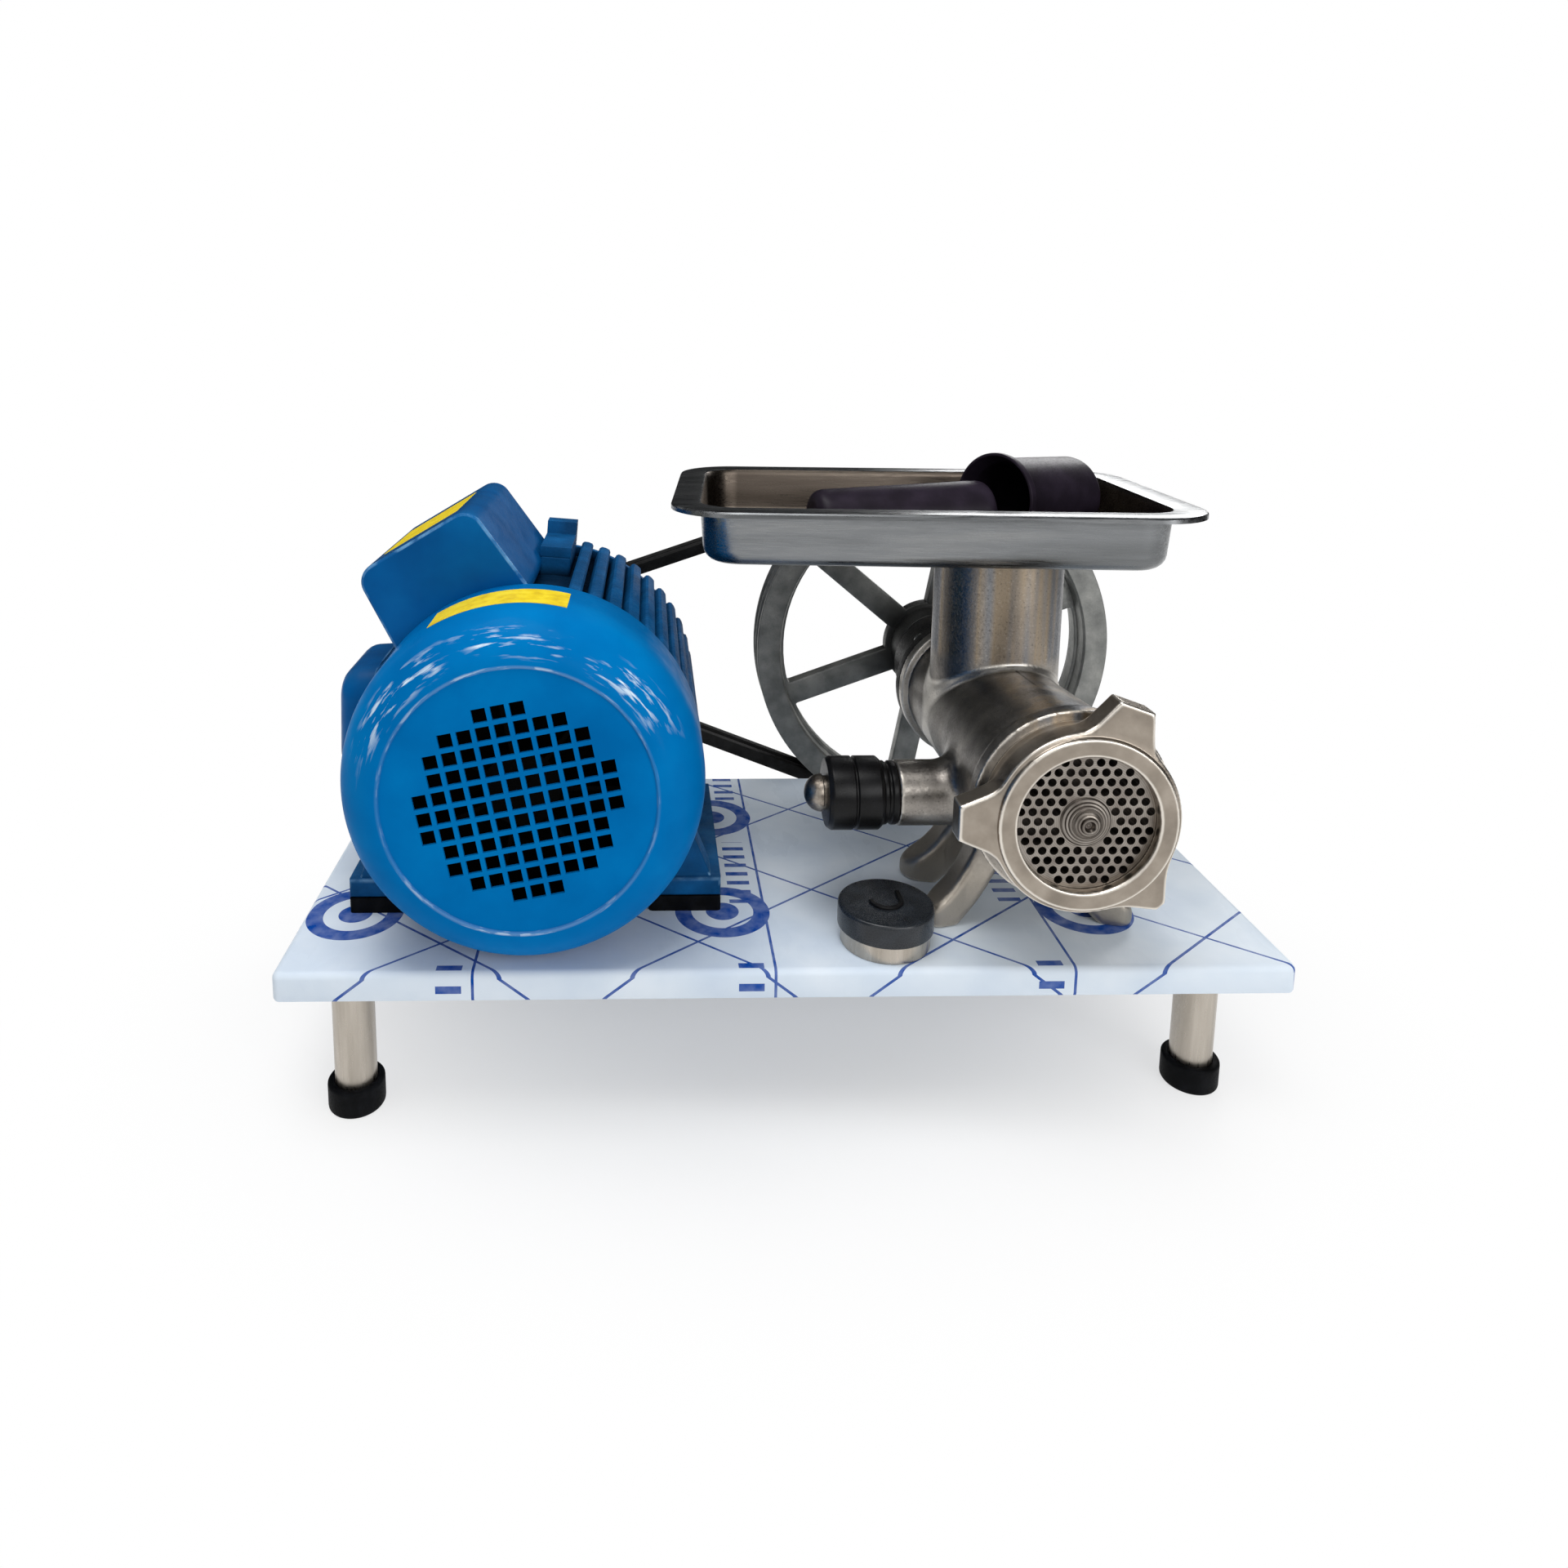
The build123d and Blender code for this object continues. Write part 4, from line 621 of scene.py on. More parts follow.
def pierceTree():
    # A round plate with a hole at each point: outlines are filled, then thickened.
    tree, add, given = startTree("pierced", {"Radius": "Float", "Hole": "Float", "Sides": "Int",
                                             "Turn": "Float", "Thickness": "Float"})
    hole = add("GeometryNodeCurvePrimitiveCircle", given["Sides"], given["Hole"])
    turn = add("CombineXYZ", {"Z": given["Turn"]})
    placed = add("GeometryNodeInstanceOnPoints", {"Points": given[0], "Instance": hole, "Rotation": turn})
    lines = add("GeometryNodeJoinGeometry", add("GeometryNodeRealizeInstances", placed))
    edge = add("GeometryNodeCurvePrimitiveCircle", 160, given["Radius"])
    tree.links.new(edge.outputs[0], lines.inputs[0])
    face = add("GeometryNodeFillCurve", lines)
    whole = add("GeometryNodeJoinGeometry", add("GeometryNodeExtrudeMesh", {
        "Mesh": face, "Offset Scale": given["Thickness"], "Individual": False}))
    tree.links.new(add("GeometryNodeFlipFaces", face).outputs[0], whole.inputs[0])
    add("NodeGroupOutput", whole)
    return tree


def runTree(tree, points, values, turns=None):
    # Runs a tree on loose points and gives back the plain mesh it makes.
    mesh = buildMesh(points, [])
    if turns is not None:
        mesh.attributes.new("turn", "FLOAT_VECTOR", "POINT").data.foreach_set("vector", np.ravel(turns))
    holder = addItem(tree.name, mesh)
    modifier = holder.modifiers.new(tree.name, "NODES")
    modifier.node_group = tree
    for socket in tree.interface.items_tree:
        if socket.in_out == "INPUT" and socket.name in values:
            modifier[socket.identifier] = values[socket.name]
    return takeMesh(holder)


def copies(mesh, points, turns):
    pattern = addItem("pattern", mesh)
    made = runTree(copiesNodes, points, {"Pattern": pattern}, turns)
    bpy.data.objects.remove(pattern)
    return made


copiesNodes = copiesTree()
pierceNodes = pierceTree()


# Distance fields for castings: values are mm from the surface, negative inside

def castMesh(low, high, voxel, field):
    axes = [np.arange(a, b + voxel, voxel) for a, b in zip(low, high)]
    values = field(*np.meshgrid(*axes, indexing="ij", sparse=True)).astype(np.float32)
    grid = openvdb.FloatGrid(3 * voxel)
    grid.copyFromArray(values)
    points, quads = grid.convertToQuads(0.0)
    return buildMesh(points * voxel + np.array(low), quads.tolist())


def blend(first, second, radius):
    # Union with a rounded fillet where the two forms meet.
    share = np.clip(0.5 + 0.5 * (second - first) / radius, 0, 1)
    return second * (1 - share) + first * share - radius * share * (1 - share)


def cut(first, second, radius=0.6):
    return -blend(-first, second, radius)


def post(radial, along, radius, low, high, edge=1.0):
    # Round bar between two ends, with its rims rounded.
    return -blend(-(radial - radius), -np.maximum(low - along, along - high), edge)


def arch(start, pull, end):
    # Line that leaves its start toward the pull point and bends to its end.
    turn = np.linspace(0, 1, 17)[:, None]
    start, pull, end = np.array([start, pull, end])
    return (1 - turn) ** 2 * start + 2 * turn * (1 - turn) * pull + turn ** 2 * end


# Stand

basePlate = {"body": "stand", "nodes": ["base_plate"], "slot": "filmed_sheet", "material": "filmedSheet",
             "length": 600.0, "width": 275.0, "bend": 4.0, "sheet": 2.0, "edge": 18.0, "lip": 10.0,
             "corner": 5.0}
bend, sheet, edge = basePlate["bend"], basePlate["sheet"], basePlate["edge"]
plateInsets = [(bend * (1 - math.sin(t)), bend * (math.cos(t) - 1)) for t in np.linspace(0, math.pi / 2, 7)]
plateInsets += [(0.0, sheet - edge), (0.6, 0.6 - edge), (sheet, -edge), (basePlate["lip"], -edge),
                (basePlate["lip"], sheet - edge), (1.5 * sheet, sheet - edge), (sheet, 1.5 * sheet - edge),
                (sheet, -bend), (bend, -sheet)]
plateLoops = [rectLoop(basePlate["length"] - 2 * inset, basePlate["width"] - 2 * inset,
                       max(basePlate["corner"] - inset, 0.5), z) for inset, z in plateInsets]
plateItem = addPiece("basePlate", [loft(plateLoops, capped=True)], basePlate)
# The film's print runs on over the folded edges, so they carry unfolded coordinates.
flat = (np.array([v.co for v in plateItem.data.vertices]) - np.array(home)) * 1000
drop = np.maximum(0, -bend - flat[:, 2])
for axis, half in ((0, basePlate["length"] / 2), (1, basePlate["width"] / 2)):
    flat[:, axis] += np.where(np.abs(flat[:, axis]) > half - 1, np.sign(flat[:, axis]) * drop, 0)
unfolded = plateItem.data.attributes.new("sheet", "FLOAT_VECTOR", "POINT")
unfolded.data.foreach_set("vector", (flat / 1000).ravel())

floorDrop = -home[2] * 1000
legNames = [f"{end}_{hand}" for hand in ("left", "right") for end in ("front", "rear")]
legs = {"body": "stand", "nodes": ["leg_" + n for n in legNames], "slot": "stainless",
        "material": "drawnTube", "radius": 12.5, "wall": 1.5, "low": 6.0, "flange": 20.0, "flangeThick": 3.0,
        "rows": ((-260, 112.5), (260, 100.5))}
legPlaces = [(x, side * y, floorDrop) for x, y in legs["rows"] for side in (-1, 1)]
legTop = -floorDrop - sheet
legFlange = legTop - legs["flangeThick"]
radius, wall, low, flange = pick(legs, "radius", "wall", "low", "flange")
legProfile = [(radius - wall, low), (radius, low), (radius, legFlange), (flange, legFlange), (flange, legTop),
              (0, legTop)]
tube = lathe(soften(legProfile, 0.8), "z", (0, 0, 0), 64)
addPiece("legs", [copies(tube, legPlaces, np.zeros((4, 3)))], legs)
footCaps = {"body": "stand", "nodes": ["foot_cap_" + n for n in legNames], "slot": "black_rubber",
            "material": "footRubber", "radius": 17.0, "height": 17.0, "bore": 12.55, "floor": 6.0}
radius, height, bore, floor = pick(footCaps, "radius", "height", "bore", "floor")
capProfile = [(0, 0), (radius, 0, 2.5), (radius, height, 3.2), (bore, height, 0.8), (bore, floor), (0, floor)]
cap = lathe(soften(capProfile, 1.0), "z", (0, 0, 0), 64)
addPiece("footCaps", [copies(cap, legPlaces, np.zeros((4, 3)))], footCaps)
print("stand built")

# Motor

fanCover = {"body": "stand", "nodes": ["fan_cover"], "slot": "blue_paint", "material": "coverEnamel",
            "sharp": 50, "front": -152.0, "back": -72.0, "radius": 104.8, "wall": 2.0, "field": 76.5,
            "recess": 1.2, "round": 34.78, "middle": (70.02, -118.4), "hole": 8.0, "pitch": 10.6,
            "reach": 5.2, "turn": 11.0}


def coverArc(wall, steps=16):
    # Points down the rounded shoulder, from the face to the straight side.
    radius = fanCover["round"] - wall
    start = math.asin((fanCover["front"] + wall - fanCover["middle"][1]) / radius)
    return [(fanCover["middle"][0] + radius * math.cos(t), fanCover["middle"][1] + radius * math.sin(t))
            for t in np.linspace(start, 0, steps)]


field, front, back, wall, radius = pick(fanCover, "field", "front", "back", "wall", "radius")
coverProfile = [(field, front + 1.8), (field + 0.4, front + 0.3), (field + 1.0, front),
                (field + 2.1, front + 0.1)]
coverProfile += coverArc(0)[1:] + [(radius, back - 0.6), (radius - 0.5, back), (radius - wall, back)]
coverProfile += coverArc(wall)[::-1] + [(field, front + 3.0)]
coverShell = lathe(coverProfile, "y", motorAxis, 192, closed=True)
reach = range(-int(fanCover["reach"]), int(fanCover["reach"]) + 1)
ventTurn = math.radians(fanCover["turn"])
vents = [(fanCover["pitch"] * (c * math.cos(ventTurn) - r * math.sin(ventTurn)),
          fanCover["pitch"] * (c * math.sin(ventTurn) + r * math.cos(ventTurn)), 0)
         for r in reach for c in reach if math.hypot(r, c) <= fanCover["reach"]]
grille = runTree(pierceNodes, vents, {"Radius": (field + 0.2) / 1000, "Sides": 4,
                                      "Hole": fanCover["hole"] / math.sqrt(2) / 1000,
                                      "Turn": ventTurn + math.pi / 4, "Thickness": wall / 1000})
grille.transform(moved(motorX, front + fanCover["recess"] + wall, motorZ) @ upright)
addPiece("fanCover", [coverShell, grille], fanCover)

terminalBox = {"body": "stand", "nodes": ["terminal_box"], "slot": "blue_paint", "material": "boxEnamel",
               "sharp": 50, "angle": 25.0, "size": (82.0, 131.5), "low": 84.0, "high": 152.0, "corner": 11.0,
               "rim": 1.8, "middle": -5.75, "seat": (62.0, 96.0), "draft": 4.5, "lean": 6.0,
               "shift": (-6.8, -3.0), "hub": 128.0}
# The box sits a little askew on its seat, turned about a hub above the motor's axis.
boxSettle = (moved(terminalBox["shift"][0], 0, terminalBox["hub"] + terminalBox["shift"][1])
             @ Matrix.Rotation(-math.radians(terminalBox["lean"]), 4, "Y") @ moved(0, 0, -terminalBox["hub"]))
sideBox = {"body": "stand", "nodes": ["side_box"], "slot": "blue_paint", "material": "boxEnamel",
           "sharp": 50, "angle": 88.0, "size": (76.0, 84.0), "low": 104.0, "high": 128.0, "corner": 20.0,
           "crown": 12.0, "middle": -8.0, "seat": (76.0, 84.0), "draft": 5.0}
liftingLug = {"body": "stand", "nodes": ["lifting_lug"], "slot": "blue_casting", "material": "castingPaint",
              "inFrame": True, "angle": -4.5, "size": (21.0, 62.0), "middle": 39.0, "edge": 2.0}
motorFrame = {"body": "stand", "nodes": ["motor_frame"], "slot": "blue_casting", "material": "castingPaint",
              "core": 92.0, "bore": 80.0, "front": -72.0, "back": 78.0, "fins": 48, "tip": 104.5,
              "finHalf": (4.9, 4.2), "web": 26.0, "webInset": 3.6, "footEnds": (-71.0, 77.0),
              "tabOutline": [(66.5, -97.5), (115.5, -97.5), (115.5, -90.5), (66.5, -90.5)],
              "webOutline": [(67.5, -92.0), (112.0, -92.0), (109.5, -86.5), (91.0, -41.5), (75.0, -34.5),
                             (45.0, -66.0)]}
core, bore, tip, front, back = pick(motorFrame, "core", "bore", "tip", "front", "back")
frameParts = [turnedRing([(bore, front), (core, front), (core, back), (bore, back)], 1.0, "y", motorAxis)]
root, end = motorFrame["finHalf"]
finHalf = [(root, core - 5), ((root + end) / 2, core + 5), (end, tip - 1.8), (0.7 * end, tip - 0.4),
           (0.0, tip)]
finOutline = finHalf + [(-x, z) for x, z in finHalf[-2::-1]]
finLoops = [np.array([(x * narrow, y, core + (z - core) * narrow) for x, z in finOutline])
            for y, narrow in ((front, 0.9), (front + 1, 1.0), (back - 1, 1.0), (back, 0.9))]
hidden = [(piece["angle"], math.degrees(math.asin(piece["size"][0] / 2 / core)))
          for piece in (terminalBox, sideBox, liftingLug)]
finAngles = [a for a in (360.0 * i / motorFrame["fins"] - 180 for i in range(motorFrame["fins"]))
             if not any(abs(a - angle) < half for angle, half in hidden)]
frameParts.append(copies(loft(finLoops, capped=True), [motorAxis] * len(finAngles),
                         [(0, -math.radians(a), 0) for a in finAngles]))
footFront, footBack = motorFrame["footEnds"]
webFront, webBack = footFront + motorFrame["webInset"], footBack - motorFrame["webInset"]
for side in (-1, 1):
    tab, web = [[(motorX + side * x, motorZ + z) for x, z in outline]
                for outline in pick(motorFrame, "tabOutline", "webOutline")]
    frameParts.append(frontPlate([tab], footFront, footBack, 2.5))
    frameParts.append(frontPlate([web], webFront, webFront + motorFrame["web"], 1.5))
    frameParts.append(frontPlate([web], webBack - motorFrame["web"], webBack, 1.5))
for box in (terminalBox, sideBox):
    seat = softBox(*box["seat"], bore, box["low"], 10.0, 1.0, box["middle"])
    frameParts.append(onMotor(seat, box["angle"]))
lugSeat = softBox(*liftingLug["size"], bore, tip, 2.0, 1.0, liftingLug["middle"])
frameParts.append(onMotor(lugSeat, liftingLug["angle"]))
addPiece("motorFrame", frameParts, motorFrame)
addPiece("liftingLug", [softCopy("lifting_lug", liftingLug["edge"])], liftingLug)
hood = hoodBox(*pick(terminalBox, "size", "low", "high", "corner", "rim", "middle", "draft"))
addPiece("terminalBox", [onMotor(hood, terminalBox["angle"], boxSettle)], terminalBox)
sideHood = softBox(*sideBox["size"], *pick(sideBox, "low", "high", "corner", "crown", "middle", "draft"))
addPiece("sideBox", [onMotor(sideHood, sideBox["angle"])], sideBox)

coverLabel = {"body": "stand", "slot": "blue_paint", "material": "labelPaper", "angles": (31.0, -14.0),
              "along": (-118.0, -86.0), "under": tip + 0.32, "over": tip + 0.5}
labelEnds = [(coverLabel["along"][i], coverLabel[face])
             for i, face in ((0, "under"), (0, "over"), (1, "over"), (1, "under"))]
labelLoops = [np.array([(motorX - r * math.sin(a), y, motorZ + r * math.cos(a)) for y, r in labelEnds])
              for a in np.linspace(*np.radians(coverLabel["angles"]), 25)]
addPiece("coverLabel", [loft(labelLoops, capped=True)], coverLabel)
lidLabel = {"body": "stand", "slot": "blue_paint", "material": "labelPaper", "size": (54.0, 80.0)}
lid = terminalBox["high"]
lidPaper = softBox(*lidLabel["size"], lid - 0.1, lid + 0.15, 1.0, 0.1, terminalBox["middle"])
addPiece("lidLabel", [onMotor(lidPaper, terminalBox["angle"], boxSettle)], lidLabel)
print("motor built")

# Belt drive

belts = {"middles": (168.5, 183.5), "proud": 0.49, "height": 9.2, "halfWidth": 6.5, "halfInner": 3.35,
         "grooveMouth": 6.65, "grooveFloor": 3.4, "grooveDepth": 9.5}
drivePulley = {"body": "grinder_drive", "nodes": ["drive_pulley"], "slot": "cast_pulley",
               "material": "castPulley", "radius": 147.5, "rim": 127.5, "hub": 33.0, "bore": 15.0,
               "hubFront": 146.5, "front": 158.5, "back": 193.5, "spokes": 6, "phase": 20.0, "half": 7.0,
               "web": (170.0, 182.0)}
motorPulley = {"body": "motor_rotor", "nodes": ["motor_pulley"], "slot": "cast_pulley",
               "material": "castPulley", "radius": 40.5, "bore": 14.05, "rim": 24.5, "hub": 18.0,
               "web": 176.0}


def groovedRim(radius):
    # Two-groove rim as (radius, y) corners, front to back.
    mouth, floor, depth = pick(belts, "grooveMouth", "grooveFloor", "grooveDepth")
    corners = [(radius, drivePulley["front"])]
    for middle in belts["middles"]:
        corners += [(radius, middle - mouth), (radius - depth, middle - floor),
                    (radius - depth, middle + floor), (radius, middle + mouth)]
    return corners + [(radius, drivePulley["back"])]


front, back, rimInner = pick(drivePulley, "front", "back", "rim")
hub, bore, hubFront = pick(drivePulley, "hub", "bore", "hubFront")
rimProfile = [(rimInner, front + 2.0), (rimInner + 1.5, front)] + groovedRim(drivePulley["radius"])
rimProfile += [(rimInner + 1.5, back), (rimInner, back - 2.0), (rimInner - 1.4, sum(drivePulley["web"]) / 2)]
hubProfile = [(bore, hubFront), (hub, hubFront), (hub, back), (bore, back)]
pulleyParts = [turnedRing(rimProfile, 1.0, "y", grinderAxis, 160),
               turnedRing(hubProfile, 1.5, "y", grinderAxis)]
webOutlines = [[(grinderX + (rimInner + 1.5) * math.cos(a), grinderZ + (rimInner + 1.5) * math.sin(a))
                for a in np.linspace(0, 2 * math.pi, 97)[:-1]]]
for spoke in range(drivePulley["spokes"]):
    start = math.radians(drivePulley["phase"] + 60 * spoke)
    outline = []
    for radius, way in ((rimInner - 2.0, 1), (hub + 3.0, -1)):
        side = math.asin((drivePulley["half"] + 1.5) / radius)
        arc = np.linspace(start + side, start + math.pi / 3 - side, 13)[::way]
        outline += [(radius * math.cos(a), radius * math.sin(a), 8.0 if i in (0, 12) else 0.0)
                    for i, a in enumerate(arc)]
    webOutlines.append([(grinderX + x, grinderZ + z) for x, z in soften(outline, 0.0, 5, closed=True)])
addPiece("drivePulley", pulleyParts + [frontPlate(webOutlines, *drivePulley["web"], 1.5)], drivePulley)
rim, hub, web, bore = pick(motorPulley, "rim", "hub", "web", "bore")
pulleyProfile = [(bore, front)] + groovedRim(motorPulley["radius"])
pulleyProfile += [(rim, back), (rim, web), (hub, web), (hub, back), (bore, back)]
addPiece("motorPulley", [turnedRing(pulleyProfile, 0.8, "y", motorAxis)], motorPulley)


def beltMesh(middle):
    # Wedge section carried round both pulleys and along the two straight strands.
    across, rise = grinderX - motorX, grinderZ - motorZ
    small, large = motorPulley["radius"] + belts["proud"], drivePulley["radius"] + belts["proud"]
    lean, quarter = math.atan2(rise, across), math.pi / 2
    lift = math.asin((large - small) / math.hypot(across, rise))
    steps = [(motorX, motorZ, small, a)
             for a in np.linspace(lean + quarter + lift, lean + 3 * quarter - lift, 40)]
    steps += [(grinderX, grinderZ, large, a)
              for a in np.linspace(lean - quarter - lift, lean + quarter + lift, 90)]
    wide, narrow, deep = belts["halfWidth"], belts["halfInner"], -belts["height"]
    section = soften([(0.0, -wide), (0.0, wide), (deep, narrow), (deep, -narrow)], 0.7, 2, closed=True)
    loops = [np.array([(x + (r + d) * math.cos(a), middle + w, z + (r + d) * math.sin(a))
                       for d, w in section]) for x, z, r, a in steps]
    return loft(loops, closed=True)


for end, middle in zip(("front", "rear"), belts["middles"]):
    belt = {"body": "stand", "nodes": ["belt_" + end], "slot": "belt_rubber", "material": "beltRubber"}
    addPiece("belt" + end.title(), [beltMesh(middle)], belt)
print("drive built")

# Grinder

clampY, clampZ = -77.5, grinderZ - 21.0
grinderBody = {"body": "stand", "nodes": ["grinder_body"], "slot": "plated_casting",
               "material": "platedCasting", "voxel": 1.25, "room": ((66, -164, -4), (230, 66, neckTop + 4)),
               "sharp": 60, "neck": 42.5, "throat": 38.5, "boss": 20.0, "bossEnd": 71.2,
               "barrel": [(-160, 46), (-145.8, 46), (-145.7, 56.5), (-135.7, 56.5), (-127, 52), (-40, 46),
                          (51.9, 46), (52, 51), (62, 51)], "ends": (-159.7, 62), "weld": 2.4,
               "bore": (39.5, -157, 48), "dieSeat": (41.15, -175, -155.7), "shaftHole": (15.3, 30, 70),
               "screwHole": 6.05, "screwDepth": 24.3,
               "legTop": ((30.0, 72.0), (38.0, 26.0), (66.0, 12.0)),
               "legUnder": ((12.0, 58.0), (28.0, 14.0), (46.0, -2.0)),
               "legReach": (10.0, 40.0, 66.0), "legHalf": (19.0, 11.0, 11.5), "legEdge": 4.5,
               "hipsToToes": ((-72.0, -86.0), (-36.0, -24.0))}


def legField(x, y, z, side, hip, toe):
    # Arched leg: its upper and lower lines are seen from the front, its round toe from above.
    reach = side * (x - grinderX)
    start, _, end = grinderBody["legReach"]
    walls = []
    for key in ("legTop", "legUnder"):
        line = arch(*grinderBody[key])
        slope = np.interp(reach, line[:, 0], np.gradient(line[:, 1], line[:, 0]))
        walls.append((z - np.interp(reach, line[:, 0], line[:, 1])) / np.sqrt(1 + slope ** 2))
    half = np.interp(reach, grinderBody["legReach"], grinderBody["legHalf"])
    middle = np.interp(reach, (start, end), (hip, toe))
    thick = np.maximum(walls[0], -walls[1]) + grinderBody["legEdge"]
    plan = np.hypot(np.maximum(reach - end + half, 0), y - middle) - half + grinderBody["legEdge"]
    rounded = np.hypot(np.maximum(thick, 0), np.maximum(plan, 0)) + np.minimum(np.maximum(thick, plan), 0)
    return np.maximum(rounded - grinderBody["legEdge"], start - reach)


def bodyField(x, y, z):
    radial = np.sqrt((x - grinderX) ** 2 + (z - grinderZ) ** 2)
    aside = np.sqrt((x - grinderX) ** 2 + (y - neckY) ** 2)
    beside = np.sqrt((y - clampY) ** 2 + (z - clampZ) ** 2)
    front, rear = grinderBody["ends"]
    barrel = radial - np.interp(y, *np.transpose(grinderBody["barrel"]))
    barrel = -blend(-barrel, -np.maximum(front - y, y - rear), 1.0)
    neck = post(aside, z, grinderBody["neck"], grinderZ, neckTop)
    weld = np.sqrt(neck ** 2 + barrel ** 2) - grinderBody["weld"]
    boss = post(beside, x, grinderBody["boss"], grinderBody["bossEnd"], grinderX)
    body = blend(blend(blend(barrel, neck, 2.0), weld, 1.5), boss, 14.0)
    for side in (-1, 1):
        for hip, toe in grinderBody["hipsToToes"]:
            body = blend(body, legField(x, y, z, side, hip, toe), 12.0)
    body = np.maximum(body, -z)
    for key in ("bore", "dieSeat", "shaftHole"):
        body = cut(body, post(radial, y, *grinderBody[key]))
    body = cut(body, post(aside, z, grinderBody["throat"], grinderZ, neckTop + 16))
    screwEnd = grinderBody["bossEnd"] + grinderBody["screwDepth"]
    return cut(body, post(beside, x, grinderBody["screwHole"], 55, screwEnd))


bodyMesh = castMesh(*grinderBody["room"], grinderBody["voxel"], bodyField)
addPiece("grinderBody", [bodyMesh], grinderBody)
print("grinder body cast")

ringNut = {"body": "locking_ring", "nodes": ["ring_nut"], "slot": "plated_casting",
           "material": "rubbedCasting", "voxel": 0.8, "sharp": 60,
           "lugs": ((70.0, 70.0, 10.0), (180.0, 70.0, 10.0), (312.0, 66.0, 3.0)),
           "radius": 51.8, "face": 49.4, "root": 46.6, "halfRoot": 20.0, "front": -170.0, "lugFront": -167.0,
           "lugBack": -152.0, "back": -146.0, "opening": (39.0, -175, -140), "thread": (46.3, -164, -140)}


def ringField(x, y, z):
    radial = np.sqrt((x - grinderX) ** 2 + (z - grinderZ) ** 2)
    flat = radial - ringNut["radius"]
    for angle, reach, tip in ringNut["lugs"]:
        angle = math.radians(angle)
        out = (x - grinderX) * math.cos(angle) + (z - grinderZ) * math.sin(angle)
        across = np.abs((z - grinderZ) * math.cos(angle) - (x - grinderX) * math.sin(angle))
        wide = np.interp(out, (ringNut["root"], reach), (ringNut["halfRoot"], tip))
        lug = np.maximum(np.maximum(across - wide, out - reach), 40 - out)
        flat = blend(flat, lug, 6.0)
    ring = -blend(-flat, -np.maximum(ringNut["lugFront"] - y, y - ringNut["lugBack"]), 2.2)
    for size, front in (("radius", "lugFront"), ("face", "front")):
        ring = blend(ring, post(radial, y, ringNut[size], ringNut[front], ringNut["back"], 1.5), 1.0)
    ring = cut(ring, post(radial, y, *ringNut["opening"]), 1.6)
    return cut(ring, post(radial, y, *ringNut["thread"]))


ringLow, ringHigh = [(grinderX + side * 74, y, grinderZ + side * 74) for side, y in ((-1, -173), (1, -143))]
addPiece("ringNut", [castMesh(ringLow, ringHigh, ringNut["voxel"], ringField)], ringNut)

diePlate = {"body": "stand", "nodes": ["die_plate"], "slot": "shaft_steel", "material": "groundSteel",
            "radius": 41.0, "pitch": 6.5, "hole": 2.4, "front": -163.7, "thick": 8.0, "field": (16.25, 37.8),
            "hub": [(7.55, -163.0), (7.55, -167.6), (8.6, -167.6), (8.9, -167.0), (10.0, -166.8),
                    (10.3, -166.2), (11.6, -165.9), (11.9, -165.3), (13.2, -165.0), (14.0, -164.2),
                    (14.0, -163.0)]}
dieHoles = [(diePlate["pitch"] * (c + (r % 2) / 2), diePlate["pitch"] * math.sqrt(3) / 2 * r, 0)
            for r in range(-7, 8) for c in range(-7, 8)]
dieHoles = [p for p in dieHoles if diePlate["field"][0] <= math.hypot(p[0], p[1]) <= diePlate["field"][1]]
dieSheet = runTree(pierceNodes, dieHoles, {"Radius": diePlate["radius"] / 1000, "Sides": 18, "Turn": 0.0,
                                           "Hole": diePlate["hole"] / 1000,
                                           "Thickness": diePlate["thick"] / 1000})
dieSheet.transform(moved(grinderX, diePlate["front"] + diePlate["thick"], grinderZ) @ upright)
addPiece("diePlate", [dieSheet, lathe(diePlate["hub"], "y", grinderAxis)], diePlate)
augerStud = {"body": "grinder_drive", "nodes": ["auger_stud"], "slot": "shaft_steel",
             "material": "groundSteel",
             "profile": [(0, -168.4), (1.8, -168.4), (2.5, -170.2), (3.4, -171.0), (4.6, -170.9),
                         (5.0, -169.6), (6.2, -169.3), (7.4, -168.2), (7.5, -167.2), (7.5, -155.4),
                         (0, -155.4)],
             "square": 13.9, "squareEnds": (-155.4, -147.4)}
squareEnd = softBox(augerStud["square"], augerStud["square"], *augerStud["squareEnds"], 0.6, 0.4)
squareEnd.transform(moved(*grinderAxis) @ upright @ Matrix.Scale(-1, 4, (0, 0, 1)))
addPiece("augerStud", [lathe(augerStud["profile"], "y", grinderAxis, 64), squareEnd], augerStud)

bearingHousing = {"body": "stand", "nodes": ["bearing_housing"], "slot": "dark_casting",
                  "material": "darkCasting", "shaft": 15.3, "bore": 31.05, "barrel": 39.95, "flange": 51.0,
                  "front": 62.0, "step": 72.0, "back": 126.0}
shaft, bore, barrel, flange = pick(bearingHousing, "shaft", "bore", "barrel", "flange")
front, step, back = pick(bearingHousing, "front", "step", "back")
housingProfile = [(shaft, front), (flange, front), (flange, step), (barrel, step, 4.0), (barrel, back),
                  (bore, back), (bore, step), (shaft, step)]
addPiece("bearingHousing", [turnedRing(housingProfile, 1.5, "y", grinderAxis)], bearingHousing)
print("grinder built")

# Side clamp

